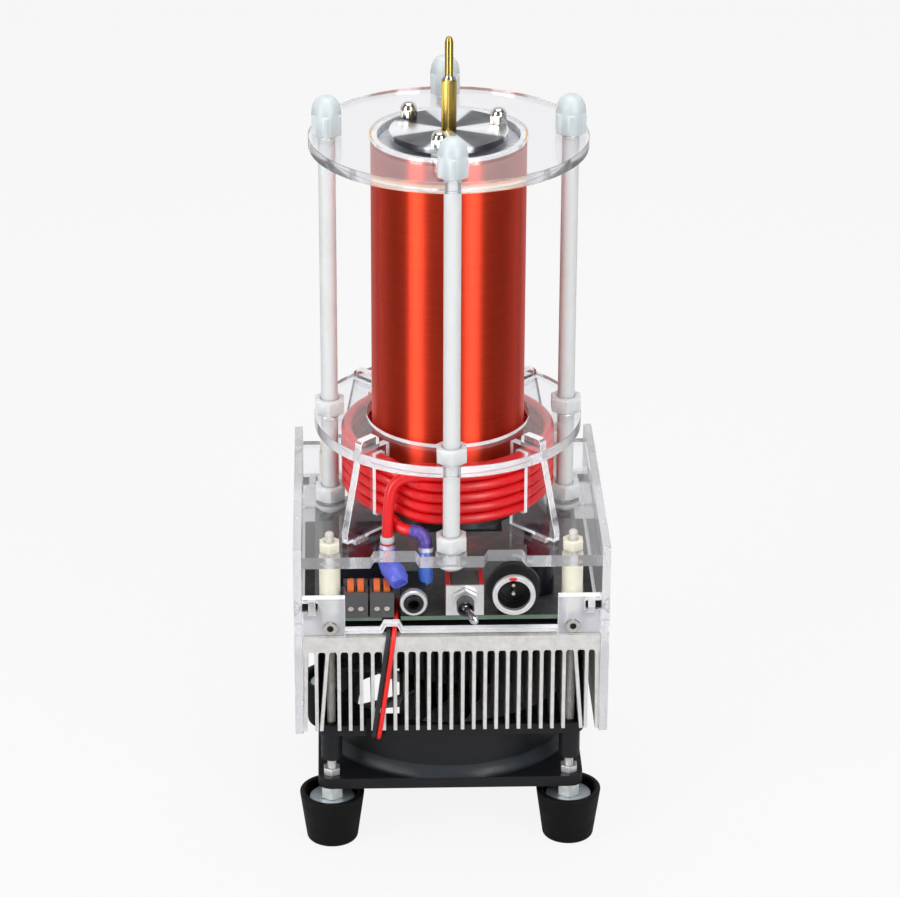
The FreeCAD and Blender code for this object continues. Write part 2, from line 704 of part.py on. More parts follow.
def foot(name, side, front):
    """A tapered rubber foot with a cup above and a recess for the screw's head below."""
    body = turned(name, [(SHANK_HOLE, "head_recess_depth"), ("head_recess / 2", "head_recess_depth"),
                         ("head_recess / 2", "0"), ("foot_bottom / 2", "0"),
                         ("foot_top / 2", "foot_height"),
                         ("foot_cup / 2", "foot_height"), ("foot_cup / 2", CUP_FLOOR),
                         (SHANK_HOLE, CUP_FLOOR)])
    doc.recompute()
    rims = rim(body.Shape, number("foot_top / 2"), number("foot_height"))
    rims += rim(body.Shape, number("foot_bottom / 2"), 0)
    dress(body, "Chamfer", f"{name}_rims", rims, "foot_bevel")
    place(body, f"{side} * {CORNER}", f"{front} * {CORNER}")
    return body


for end, front in (("front", "-1"), ("rear", "1")):
    for hand, side in (("left", "-1"), ("right", "1")):
        keep(foot(f"foot_{end}_{hand}", side, front))

washer = turned("foot_washer", [(SHANK_HOLE, "0"), ("foot_washer_across / 2", "0"),
                                ("foot_washer_across / 2", "foot_washer_thickness"),
                                (SHANK_HOLE, "foot_washer_thickness")])
keep(group("foot_washers", copies("foot_washer_at", washer, at_corners(CUP_FLOOR))))

foot_standoff = hex_piece("foot_standoff", "foot_standoff_across", "foot_standoff_length", SHANK_HOLE)
keep(group("foot_standoffs", copies("foot_standoff_at", foot_standoff,
                                    at_corners(f"{CUP_FLOOR} + foot_washer_thickness"))))

BOLT_TOP = f"({DECK_TOP} + corner_nut_height + bolt_tip)"
bolt = turned("corner_bolt", [("0", "head_recess_depth - bolt_head_height"),
                              ("bolt_head / 2", "head_recess_depth - bolt_head_height"),
                              ("bolt_head / 2", "head_recess_depth"),
                              ("bolt_diameter / 2", "head_recess_depth"),
                              ("bolt_diameter / 2", f"{BOLT_TOP} - bolt_diameter / 8"),
                              ("bolt_diameter * 3 / 8", BOLT_TOP), ("0", BOLT_TOP)])
keep(group("corner_bolts", copies("corner_bolt_at", bolt, at_corners("0"))))

corner_standoff = hex_piece("corner_standoff", "corner_standoff_across",
                            "corner_standoff_length", SHANK_HOLE)
keep(group("corner_standoffs", copies("corner_standoff_at", corner_standoff, at_corners(SINK_TOP))))

corner_spacer = turned("corner_spacer", [(SHANK_HOLE, "0"), ("corner_spacer_diameter / 2", "0"),
                                         ("corner_spacer_diameter / 2", "corner_spacer_length"),
                                         (SHANK_HOLE, "corner_spacer_length")])
keep(group("corner_spacers", copies("corner_spacer_at", corner_spacer,
                                    at_corners(f"{SINK_TOP} + corner_standoff_length"))))

corner_nut = hex_piece("corner_nut", "corner_nut_across", "corner_nut_height", SHANK_HOLE)
keep(group("corner_nuts", copies("corner_nut_at", corner_nut, at_corners(DECK_TOP))))


# Fan

def fan_frame():
    """Two square flanges on a round duct, with corner sleeves, a motor plate, struts and a bearing tube."""
    body = new_body("fan_frame")
    half = "fan_size / 2"
    for name, bottom in (("lower_flange", FAN_FLOOR), ("upper_flange", f"{FAN_TOP} - fan_flange")):
        square = sketch(body, f"{name}_outline", "XY_Plane", bottom)
        rectangle(square, f"-{half}", f"-{half}", half, half)
        circle(square, "0", "0", "fan_bore / 2")
        pad(body, name, square, "fan_flange")
    doc.recompute()
    corners = upright(body.Shape)
    dress(body, "Fillet", "flange_corners", corners, "fan_corner")
    ring = sketch(body, "duct_section", "XY_Plane", FAN_FLOOR)
    circle(ring, "0", "0", "fan_bore / 2 + fan_wall")
    circle(ring, "0", "0", "fan_bore / 2")
    pad(body, "duct", ring, "fan_depth")
    bosses = sketch(body, "boss_sections", "XY_Plane", f"{FAN_FLOOR} + fan_flange + nut_height + boss_gap")
    for side, front in QUARTERS:
        circle(bosses, f"{side} * {CORNER}", f"{front} * {CORNER}", "fan_hole / 2 + boss_wall")
    pad(body, "corner_bosses", bosses, "fan_depth - 2 * fan_flange - nut_height - boss_gap")
    holes = sketch(body, "mounting_holes", "XY_Plane", f"{FAN_FLOOR} + fan_depth / 2")
    for side, front in QUARTERS:
        circle(holes, f"{side} * {CORNER}", f"{front} * {CORNER}", "fan_hole / 2")
    pocket(body, "mounting", holes, "2 * fan_depth")
    arm = sketch(body, "strut_section", "XY_Plane", FAN_FLOOR)
    rectangle(arm, "-strut_width / 2", "hub_diameter / 4", "strut_width / 2", "fan_bore / 2 + fan_wall / 2")
    strut = pad(body, "strut", arm, "motor_plate")
    polar(body, "struts", strut, "4")
    plate = sketch(body, "motor_plate_section", "XY_Plane", FAN_FLOOR)
    circle(plate, "0", "0", "hub_diameter / 2")
    pad(body, "motor_plate_pad", plate, "motor_plate")
    tube = sketch(body, "bearing_section", "XY_Plane", f"{FAN_FLOOR} + motor_plate / 2")
    circle(tube, "0", "0", "bearing_tube / 2")
    pad(body, "bearing", tube, "fan_depth - 3 * motor_plate")
    bore = sketch(body, "bearing_bore", "XY_Plane", FAN_TOP)
    circle(bore, "0", "0", "shaft_diameter / 2 + shaft_clearance")
    pocket(body, "bearing_hole", bore, "2 * (fan_depth - motor_plate / 2)")
    notch = sketch(body, "lead_notch_section", "XY_Plane", FAN_TOP)
    rectangle(notch, "-arch_x - lead_slant - 2 * fan_wire", f"-{half} - fan_wire",
              "-arch_x - lead_slant + 2 * fan_wire", f"-{half} + 3.2 * fan_wire")
    pocket(body, "lead_notch", notch, "4 * fan_flange")
    return body


def fan_rotor():
    """A cup-shaped hub on a shaft, with twisted and bowed blades."""
    body = new_body("fan_rotor")
    floor = f"({FAN_FLOOR} + motor_plate + hub_gap)"
    roof = f"({FAN_TOP} - hub_gap)"
    radius = "(hub_diameter / 2)"
    profile = sketch(body, "hub_profile", "XZ_Plane")
    shaft = "(shaft_diameter / 2)"
    outline(profile, [("0", f"{floor} - motor_plate / 4"), (shaft, f"{floor} - motor_plate / 4"),
                      (shaft, f"{roof} - 2 * hub_wall"), (f"{radius} - hub_wall", f"{roof} - 2 * hub_wall"),
                      (f"{radius} - hub_wall", floor), (radius, floor), (radius, f"{roof} - hub_wall"),
                      (f"{radius} - hub_wall", roof), ("0", roof)])
    turn(body, "hub", profile)
    reach = "sqrt((fan_bore / 2 - blade_gap) ^ 2 - (blade_chord / 2) ^ 2)"
    middle = f"(({floor} + {roof}) / 2)"
    sections = []
    stations = (("root", f"{radius} - hub_wall", "blade_rise_root"), ("tip", reach, "blade_rise_tip"))
    for name, x, rise in stations:
        section = sketch(body, f"blade_{name}", "YZ_Plane", x)
        half = "blade_chord / 2" if name == "tip" else "blade_chord * 0.3"
        thick = "blade_thickness / 2"
        bow = "blade_camber"
        outline(section, [(f"-{half}", f"{middle} - {rise} / 2 - {thick}"),
                          ("0", f"{middle} + {bow} - {thick}"),
                          (half, f"{middle} + {rise} / 2 - {thick}"),
                          (half, f"{middle} + {rise} / 2 + {thick}"),
                          ("0", f"{middle} + {bow} + {thick}"),
                          (f"-{half}", f"{middle} - {rise} / 2 + {thick}")])
        sections.append(section)
    blade = body.newObject("PartDesign::AdditiveLoft", "blade")
    blade.Profile = sections[0]
    blade.Sections = [sections[1]]
    blade.Ruled = True
    body.Tip = blade
    polar(body, "blades", blade, "blade_count")
    return body


keep(fan_frame())
keep(fan_rotor())


# Heatsink

def heatsink():
    """A base with fins front to back; the fin beside each pair of bolts is bent away from them."""
    body = new_body("heatsink")
    half = "sink_width / 2"
    pitch = "((sink_width - fin_thickness) / (fin_count - 1))"
    base = sketch(body, "base_section", "XZ_Plane", "-sink_depth / 2")
    rectangle(base, f"-{half}", FIN_ROOT, half, SINK_TOP)
    pad(body, "base", base, "sink_depth")
    overlap = "sink_base / 8"
    flare = "fin_root_rounding"

    def fin(name, x, lean):
        """One fin's section: a flared root and a straight or bent blade."""
        drawing = sketch(body, f"{name}_section", "XZ_Plane", "-sink_depth / 2")
        thick = "fin_thickness / 2"
        root = f"({x})"
        tip = f"({x} + {lean})"
        outline(drawing, [(f"{root} - {thick} - {flare} / 2", f"{FIN_ROOT} + {overlap}"),
                          (f"{root} - {thick} - {flare} / 2", FIN_ROOT),
                          (f"{root} - {thick}", f"{FIN_ROOT} - {flare}"), (f"{tip} - {thick}", FAN_TOP),
                          (f"{tip} + {thick}", FAN_TOP), (f"{root} + {thick}", f"{FIN_ROOT} - {flare}"),
                          (f"{root} + {thick} + {flare} / 2", FIN_ROOT),
                          (f"{root} + {thick} + {flare} / 2", f"{FIN_ROOT} + {overlap}")])
        return pad(body, name, drawing, "sink_depth")

    inner = fin("fin", f"-(fin_count - 7) / 2 * {pitch}", "0")
    linear(body, "fins", inner, f"(fin_count - 7) * {pitch}", "fin_count - 6")
    for hand, side in (("left", "-"), ("right", "")):
        outermost = f"{side}(sink_width - fin_thickness - fin_root_rounding) / 2"
        fin(f"fin_{hand}_outer", outermost, f"{side}fin_root_rounding / 2")
        fin(f"fin_{hand}_next", f"{side}((fin_count - 3) / 2) * {pitch}", "0")
        fin(f"fin_{hand}_bent", f"{side}((fin_count - 5) / 2) * {pitch}", f"{side}fin_splay")
    channels = sketch(body, "bolt_channels", "XY_Plane", FAN_TOP)
    for side, front in QUARTERS:
        circle(channels, f"{side} * {CORNER}", f"{front} * {CORNER}", SHANK_HOLE)
    pocket(body, "channels", channels, "4 * (fin_height + sink_base)")
    taps = sketch(body, "board_screw_holes", "XY_Plane", SINK_TOP)
    for side, front in QUARTERS:
        circle(taps, f"{side} * board_hole_x / 2", f"{front} * board_hole_y / 2", SHANK_HOLE)
    in_sink = "(screw_length - board_thickness - board_lift + bolt_clearance)"
    pocket(body, "board_screw_taps", taps, f"2 * {in_sink}")
    return body


keep(heatsink())


# Circuit board and what stands on it

def circuit_board():
    """A board with a notch at each corner standoff and a window over the transistors."""
    body = new_body("circuit_board")
    x = "board_width / 2"
    y = BOARD_END
    inner = f"({CORNER} - corner_standoff_across / sqrt(3) - board_notch_clearance)"
    shape = sketch(body, "board_outline", "XY_Plane", BOARD_FLOOR)
    outline(shape, [(f"-{inner}", f"-{y}"), ("-arch_x - arch_width / 2", f"-{y}"),
                    ("-arch_x - arch_width / 2", f"-{y} + board_lead_notch"),
                    ("-arch_x + arch_width / 2", f"-{y} + board_lead_notch"),
                    ("-arch_x + arch_width / 2", f"-{y}"), (inner, f"-{y}"), (inner, f"-{inner}"),
                    (x, f"-{inner}"), (x, inner), (inner, inner), (inner, y), (f"-{inner}", y),
                    (f"-{inner}", inner),
                    (f"-{x}", inner), (f"-{x}", f"-{inner}"), (f"-{inner}", f"-{inner}")])
    for side, front in QUARTERS:
        circle(shape, f"{side} * board_hole_x / 2", f"{front} * board_hole_y / 2",
               "screw_diameter / 2 + bolt_clearance")
    rectangle(shape, "-board_window_width / 2", f"{WINDOW_Y} - board_window_depth / 2",
              "board_window_width / 2", f"{WINDOW_Y} + board_window_depth / 2")
    pad(body, "board", shape, "board_thickness")
    return body


keep(circuit_board())

at_board = [(f"{side} * board_hole_x / 2", f"{front} * board_hole_y / 2") for side, front in QUARTERS]
standoff = turned("board_standoff", [(SHANK_HOLE, "0"), ("board_standoff / 2", "0"),
                                     ("board_standoff / 2", "board_lift"), (SHANK_HOLE, "board_lift")])
keep(group("board_standoffs", copies("board_standoff_at", standoff,
                                     [(x, y, SINK_TOP) for x, y in at_board])))

cans = [cylinder(f"can_{index}", "can_diameter / 2", "can_height", x, y, BOARD_TOP)
        for index, (x, y) in enumerate([("can_x", "-can_y"), ("can_x", "-can_y + 1.15 * can_diameter")])]
film_places = [("-film_x", "-film_y"), ("-film_x", "-film_y + 1.2 * film_thickness")]
films = [block(f"film_{index}", x, y, BOARD_TOP, "film_width", "film_thickness", "film_height")
         for index, (x, y) in enumerate(film_places)]
keep(group("capacitors", cans + films))

transistors = []
for index, side in enumerate(("-1", "1")):
    middle = f"({side} * board_window_width / 4)"
    front = f"({WINDOW_Y} - transistor_length / 2)"
    slab = block(f"transistor_slab_{index}", f"{middle} - transistor_width / 2", front, SINK_TOP,
                 "transistor_width", "transistor_length", "transistor_thickness")
    eye = cylinder(f"transistor_eye_{index}", "transistor_width / 9", "2 * transistor_thickness", middle,
                   f"{front} + transistor_length * 0.72", f"{SINK_TOP} - transistor_thickness / 2")
    transistors.append(cut(f"transistor_{index}", slab, eye))
keep(group("power_transistors", transistors))


def terminal_block(name, middle):
    """A spring terminal with two wire entries in front and two lever slots on top."""
    body = block(f"{name}_body", f"{middle} - block_width / 2", "-block_face", BOARD_TOP,
                 "block_width", "block_depth", "block_height")
    tools = []
    for index, side in enumerate(("-1", "1")):
        x = f"({middle} + {side} * key_pitch / 2)"
        tools.append(cylinder(f"{name}_entry_{index}", "wire_entry / 2", "2 * wire_entry_depth", x,
                              "-block_face - wire_entry_depth", f"{BOARD_TOP} + wire_entry_height",
                              FreeCAD.Rotation(Vector(1, 0, 0), -90)))
        tools.append(block(f"{name}_slot_{index}", f"{x} - key_width / 2 - key_clearance",
                           "-block_face + key_set_back - key_clearance",
                           f"{BOARD_TOP} + block_height - key_sunk - key_travel - key_clearance",
                           "key_width + 2 * key_clearance", "key_depth + 2 * key_clearance",
                           "2 * block_height"))
    return cut(name, body, *tools)


def terminal_key(name, middle):
    """An orange release lever with a sloping thumb face."""
    body = new_body(name)
    shape = sketch(body, f"{name}_profile", "YZ_Plane", f"{middle} - key_width / 2")
    front = "(-block_face + key_set_back)"
    floor = f"({BOARD_TOP} + block_height - key_sunk)"
    top = f"({BOARD_TOP} + block_height + key_rise)"
    outline(shape, [(front, floor), (f"{front} + key_depth", floor), (f"{front} + key_depth", top),
                    (f"{front} + key_depth * 0.55", top), (front, f"{top} - key_rise * 0.75")])
    pad(body, f"{name}_width", shape, "key_width")
    return body


for hand, side in (("left", "-1"), ("right", "1")):
    middle = f"(-block_x + {side} * block_pitch / 2)"
    keep(terminal_block(f"terminal_block_{hand}", middle))
    for place_name, step in (("outer", side), ("inner", f"-1 * {side}")):
        keep(terminal_key(f"terminal_lever_{hand}_{place_name}", f"({middle} + {step} * key_pitch / 2)"))

FACING = FreeCAD.Rotation(Vector(1, 0, 0), 90)


def audio_jack():
    """A jack body on the board with a threaded nose, its nut and a plug's bore."""
    body = new_body("audio_jack")
    drawing = sketch(body, "jack_body_section", "XY_Plane")
    rectangle(drawing, "-jack_width / 2", "-jack_axis_height",
              "jack_width / 2", "jack_height - jack_axis_height")
    pad(body, "jack_body", drawing, "jack_depth", Reversed=True)
    nose = sketch(body, "jack_nose_section", "XY_Plane")
    circle(nose, "0", "0", "jack_nose / 2")
    pad(body, "jack_nose_pad", nose, "jack_nose_length")
    nut = sketch(body, "jack_nut_section", "XY_Plane", "jack_nut_height / 4")
    hexagon(nut, "jack_nut_across")
    pad(body, "jack_nut", nut, "jack_nut_height")
    bore = sketch(body, "jack_bore_section", "XY_Plane", "jack_nose_length")
    circle(bore, "0", "0", "jack_bore / 2")
    pocket(body, "jack_bore_cut", bore, "2 * jack_bore_depth")
    return place(body, "-jack_x", "-jack_face", JACK_AXIS, FACING)


keep(audio_jack())


def toggle_body():
    body = block("toggle_body", "toggle_x - toggle_width / 2", "-toggle_face + toggle_frame_thickness",
                 BOARD_TOP, "toggle_width", "toggle_depth", "toggle_height")
    body.Label = "toggle_body"
    return body


def toggle_frame():
    """The switch's metal face with its threaded bushing, open for the lever, and the nut."""
    body = new_body("toggle_frame")
    face = sketch(body, "toggle_face_section", "XY_Plane")
    rectangle(face, "-toggle_width / 2", "-toggle_axis_height", "toggle_width / 2",
              "toggle_height - toggle_axis_height")
    pad(body, "toggle_face_pad", face, "toggle_frame_thickness", Reversed=True)
    bushing = sketch(body, "bushing_section", "XY_Plane")
    circle(bushing, "0", "0", "bushing_diameter / 2")
    pad(body, "bushing", bushing, "bushing_length")
    nut = sketch(body, "bushing_nut_section", "XY_Plane", "toggle_frame_thickness / 2")
    hexagon(nut, "bushing_nut_across")
    pad(body, "bushing_nut", nut, "bushing_nut_height")
    bore = sketch(body, "bushing_bore_section", "XY_Plane", "bushing_length")
    circle(bore, "0", "0", "bushing_bore / 2")
    pocket(body, "bushing_bore_cut", bore, "2 * (bushing_length - toggle_frame_thickness / 2)")
    return place(body, "toggle_x", "-toggle_face", TOGGLE_AXIS, FACING)


def toggle_lever():
    """A tapered lever on a ball with a pivot pin, thrown to the right."""
    ball = "(lever_ball / 2)"
    body = new_body("toggle_lever")
    profile = sketch(body, "lever_profile", "XY_Plane")
    outline(profile, [("0", ball), (f"{ball} * 0.7", f"{ball} * 0.7"), (ball, "0"),
                      (f"{ball} * 0.7", f"-{ball} * 0.7"), ("lever_root / 2", f"-{ball} * 0.9"),
                      ("lever_tip / 2", "-lever_length + lever_tip / 2"),
                      ("lever_tip / 2 * 0.7", "-lever_length + lever_tip / 8"), ("0", "-lever_length")])
    turn(body, "lever", profile)
    pin = sketch(body, "pivot_section", "XY_Plane", f"-{ball} * 1.1")
    circle(pin, "0", "0", "lever_root / 4")
    pad(body, "pivot_pin", pin, "lever_ball * 1.1")
    place(body, "toggle_x", "-toggle_face - bushing_length + lever_pivot", TOGGLE_AXIS,
          FreeCAD.Rotation(Vector(0, 0, 1), number("lever_angle")))
    tie(body, ".Placement.Rotation.Angle", "lever_angle")
    return body


keep(toggle_body())
keep(toggle_frame())
keep(toggle_lever())


def power_socket():
    """A round threaded shell with a flange, held on the board by a block."""
    body = new_body("power_socket_shell")
    foot = sketch(body, "socket_foot_section", "XY_Plane", "-socket_flange_back - socket_flange_thickness")
    rectangle(foot, "-socket_foot_width / 2", "-socket_axis_height", "socket_foot_width / 2",
              "-(socket_diameter + socket_bore) / 4")
    foot_length = "socket_length - socket_flange_back - socket_flange_thickness"
    pad(body, "socket_foot", foot, foot_length, Reversed=True)
    for name, front, radius, length in (
            ("socket_barrel", "0", "socket_diameter / 2", "socket_length"),
            ("socket_flange_pad", "-socket_flange_back", "socket_flange / 2", "socket_flange_thickness")):
        ring = sketch(body, f"{name}_section", "XY_Plane", front)
        circle(ring, "0", "0", radius)
        pad(body, name, ring, length, Reversed=True)
    bore = sketch(body, "socket_bore_section", "XY_Plane")
    circle(bore, "0", "0", "socket_bore / 2")
    pocket(body, "socket_bore_cut", bore, "4 * socket_length")
    return place(body, "socket_x", "-socket_mouth", SOCKET_AXIS, FACING)


def power_insert():
    """The insulating insert with its two contact pins."""
    body = new_body("power_socket_insert")
    core = sketch(body, "insert_section", "XY_Plane", "-insert_recess")
    circle(core, "0", "0", "socket_bore / 2 - insert_clearance")
    pad(body, "insert", core, "socket_length - insert_recess", Reversed=True)
    pins = sketch(body, "pin_sections", "XY_Plane", "-insert_recess - pin_length")
    for side in ("-1", "1"):
        circle(pins, "0", f"{side} * pin_spacing / 2", "pin_diameter / 2")
    pad(body, "pins", pins, "2 * pin_length")
    return place(body, "socket_x", "-socket_mouth", SOCKET_AXIS, FACING)


keep(power_socket())
keep(power_insert())


# Clear panels, side plates and deck

def tee_slot():
    """Corners of a screw slot with a nut pocket, cut into a panel's right edge.

    The screw comes in from the side and the nut sits across the slot.
    """
    deep = f"{SHEET_EDGE} - {SLOT_DEPTH}"
    near = f"{SHEET_EDGE} - {NUT_DEPTH}"
    far = f"{near} - (nut_height + 2 * nut_slack)"
    narrow = SHANK_HOLE
    wide = "(nut_across / 2 + nut_slack)"
    lower = [(SHEET_EDGE, f"{PANEL_SCREW} - {narrow}"), (near, f"{PANEL_SCREW} - {narrow}"),
             (near, f"{PANEL_SCREW} - {wide}"), (far, f"{PANEL_SCREW} - {wide}"),
             (far, f"{PANEL_SCREW} - {narrow}"), (deep, f"{PANEL_SCREW} - {narrow}")]
    upper = [(deep, f"{PANEL_SCREW} + {narrow}"), (far, f"{PANEL_SCREW} + {narrow}"),
             (far, f"{PANEL_SCREW} + {wide}"), (near, f"{PANEL_SCREW} + {wide}"),
             (near, f"{PANEL_SCREW} + {narrow}"), (SHEET_EDGE, f"{PANEL_SCREW} + {narrow}")]
    return lower + upper


def panel(name, shift, arched):
    """A clear U-shaped panel: two uprights with screw slots and tabs on a thin bottom strip."""
    body = new_body(name)
    shape = sketch(body, f"{name}_outline", "XZ_Plane", shift)
    window = "(panel_window / 2)"
    edge = SHEET_EDGE
    tab = PLATE_OUTER
    top = f"({SINK_TOP} + panel_height)"
    tab_low = f"({SINK_TOP} + tab_bottom)"
    tab_high = f"({SINK_TOP} + tab_bottom + tab_height)"
    low = f"({SINK_TOP} + strip_lift)"
    high = f"({SINK_TOP} + strip_lift + strip_height)"
    right = [(edge, SINK_TOP), (edge, tab_low), (tab, tab_low), (tab, tab_high), (edge, tab_high)]
    right += tee_slot()
    right += [(edge, top), (window, top), (window, high)]
    left = [(f"-({x})", y) for x, y in reversed(right)]
    under = [(f"-{window}", SINK_TOP), (f"-{window}", low)]
    over = []
    if arched:
        half = "arch_width / 2"
        under += [(f"-arch_x - {half}", low),
                  (f"-arch_x - {half} + arch_height / 2", f"{low} + arch_height"),
                  (f"-arch_x + {half} - arch_height / 2", f"{low} + arch_height"),
                  (f"-arch_x + {half}", low)]
        over = [(f"-arch_x + {half} + strip_height / 2", high),
                (f"-arch_x + {half} - arch_height / 2 + strip_height / 2", f"{high} + arch_height"),
                (f"-arch_x - {half} + arch_height / 2 - strip_height / 2", f"{high} + arch_height"),
                (f"-arch_x - {half} - strip_height / 2", high)]
    under += [(window, low), (window, SINK_TOP)]
    outline(shape, right + over + left + under)
    for side in ("-1", "1"):
        circle(shape, f"{side} * {CORNER}", f"{SINK_TOP} + panel_hole_height", "panel_hole / 2")
    pad(body, f"{name}_sheet", shape, "sheet_thickness")
    return body


keep(panel("front_panel", PANEL_INNER, True))
keep(panel("rear_panel", f"-{PANEL_OUTER}", False))


def side_plate(name, side):
    """A clear side plate with slots for the panel tabs and holes for the side screws' shanks."""
    body = new_body(name)
    left = PLATE_INNER if side == "1" else f"-{PLATE_OUTER}"
    shape = sketch(body, f"{name}_outline", "YZ_Plane", left)
    rectangle(shape, f"-{PLATE_END}", f"{FAN_TOP} - plate_drop", PLATE_END, f"{DECK_TOP} + plate_rise")
    pad(body, f"{name}_sheet", shape, "sheet_thickness")
    doc.recompute()
    corners = []
    for index, line in enumerate(body.Shape.Edges, start=1):
        if line.BoundBox.YLength + line.BoundBox.ZLength < 0.02:
            corners.append(f"Edge{index}")
    dress(body, "Fillet", f"{name}_corners", corners, "plate_corner")
    holes = sketch(body, f"{name}_openings", "YZ_Plane", left)
    slack = "sheet_clearance"
    for front in ("-1", "1"):
        middle = f"({front} * {PANEL_MIDDLE})"
        tab_low = f"{SINK_TOP} + tab_bottom"
        rectangle(holes, f"{middle} - sheet_thickness / 2 - {slack}", f"{tab_low} - {slack}",
                  f"{middle} + sheet_thickness / 2 + {slack}", f"{tab_low} + tab_height + {slack}")
        circle(holes, middle, PANEL_SCREW, SHANK_HOLE)
    pocket(body, f"{name}_cut", holes, "4 * sheet_thickness")
    return body


in_panels = [(f"{front} * {PANEL_MIDDLE}", PANEL_SCREW) for front in ("-1", "1")]
to_right = FreeCAD.Rotation(Vector(0, 1, 0), 90)
to_left = FreeCAD.Rotation(Vector(0, 1, 0), -90)
SINK_RADIUS = "(flush_head / 2 + bolt_clearance)"
countersink = turned("countersink", [("0", f"-(flush_land + {SINK_RADIUS})"), (SINK_RADIUS, "-flush_land"),
                                     (SINK_RADIUS, "sheet_thickness"), ("0", "sheet_thickness")])

for hand, side, sign, way in (("left", "-1", "-", to_left), ("right", "1", "", to_right)):
    sinks = copies(f"{hand}_sink", countersink, [(f"{sign}{PLATE_OUTER}", y, z) for y, z in in_panels], way)
    keep(cut(f"side_plate_{hand}", side_plate(f"plate_{hand}", side), *sinks))


def deck_plate():
    """A clear deck with two shallow recesses in front, slots for the supports and all its holes."""
    body = new_body("deck_blank")
    x = SHEET_EDGE
    y = "(deck_depth / 2)"
    back = f"(-{y} + recess_depth)"
    front_edge = [(f"-{x}", f"-{y}")]
    recesses = (("-recess_left_x", "recess_left_width"), ("recess_right_x", "recess_right_width"))
    for middle, width in recesses:
        half = f"{width} / 2"
        front_edge += [(f"{middle} - {half} - recess_slant", f"-{y}"), (f"{middle} - {half}", back),
                       (f"{middle} + {half}", back), (f"{middle} + {half} + recess_slant", f"-{y}")]
    shape = sketch(body, "deck_outline", "XY_Plane", DECK_FLOOR)
    outline(shape, front_edge + [(x, f"-{y}"), (x, y), (f"-{x}", y)])
    pad(body, "deck_sheet", shape, "deck_thickness")
    holes = sketch(body, "deck_openings", "XY_Plane", DECK_TOP)
    for x, y, _ in at_corners("0"):
        circle(holes, x, y, SHANK_HOLE)
    for x, y, _ in at_posts("0"):
        circle(holes, x, y, POST_HOLE)
    for x, y in (LEAD_HOLE, ARCH_HOLE):
        circle(holes, x, y, "lead_hole / 2")
    pocket(body, "deck_cut", holes, "4 * deck_thickness")
    slots = [slot_tool(f"deck_slot_{index}", f"{angle}", KEY_INNER, KEY_OUTER, DECK_FLOOR, "deck_thickness")
             for index, angle in enumerate(SUPPORT_ANGLES.values())]
    return cut("deck_plate", body, *slots)


def slot_tool(name, angle, inner, outer, bottom, height):
    """A radial slot's cutter, at an angle about the axis."""
    body = new_body(name)
    shape = sketch(body, f"{name}_section", "XY_Plane", f"{bottom} - {height}")
    rectangle(shape, f"{inner} - slot_clearance", "-sheet_thickness / 2 - slot_clearance",
              f"{outer} + slot_clearance", "sheet_thickness / 2 + slot_clearance")
    pad(body, f"{name}_length", shape, f"3 * ({height})")
    return place(body, "0", "0", "0", FreeCAD.Rotation(Vector(0, 0, 1), float(angle)))


keep(deck_plate())


# Posts, rings and their nuts

POST_TOP = f"({CROWN_TOP} + post_spigot_grip)"
for name, (x, y, _) in zip(("right", "rear", "left", "front"), at_posts("0")):
    shank = "(post_diameter / 2)"
    head = "(post_head / 2)"
    low = f"({DECK_FLOOR} - post_head_height)"
    post = turned(f"post_{name}", [("0", low), (f"{head} * 0.7", low),
                                   (head, f"{DECK_FLOOR} - post_head_height * 0.45"),
                                   (head, DECK_FLOOR), (shank, DECK_FLOOR), (shank, CROWN_FLOOR),
                                   ("post_spigot / 2", CROWN_FLOOR), ("post_spigot / 2", POST_TOP),
                                   ("0", POST_TOP)])
    keep(place(post, x, y))

post_nut = hex_piece("post_nut", "post_nut_across", "post_nut_height", POST_HOLE)
keep(group("post_nuts", copies("deck_nut_at", post_nut, at_posts(DECK_TOP))
           + copies("ring_nut_at", post_nut, at_posts(RING_TOP))))

post_cap = cap_nut("post_cap", "post_nut_across", "cap_nut_hex", "cap_nut_dome",
                   "post_spigot / 2 + sheet_clearance / 2", "post_spigot_grip + sheet_clearance")
keep(group("cap_nuts", copies("post_cap_at", post_cap, at_posts(CROWN_TOP))))


def ring(name, bottom, radius, bore, post_hole, slotted):
    """A clear ring round the secondary, held by the four posts."""
    body = new_body(f"{name}_blank" if slotted else name)
    shape = sketch(body, f"{name}_outline", "XY_Plane", bottom)
    circle(shape, "0", "0", radius)
    circle(shape, "0", "0", bore)
    for x, y, _ in at_posts("0"):
        circle(shape, x, y, post_hole)
    pad(body, f"{name}_sheet", shape, "ring_thickness")
    if not slotted:
        return body
    slots = [slot_tool(f"{name}_slot_{index}", f"{angle}", TAB_INNER, TAB_OUTER, bottom, "ring_thickness")
             for index, angle in enumerate(SUPPORT_ANGLES.values())]
    return cut(name, body, *slots)


keep(ring("lower_ring_plate", RING_FLOOR, f"{POST} + lower_ring_border", f"{WOUND} + lower_ring_clearance",
          POST_HOLE, True))
keep(ring("upper_ring_plate", CROWN_FLOOR, f"{POST} + upper_ring_border", f"{WOUND} + upper_ring_clearance",
          "post_spigot / 2 + post_clearance", False))


# Primary winding and its supports

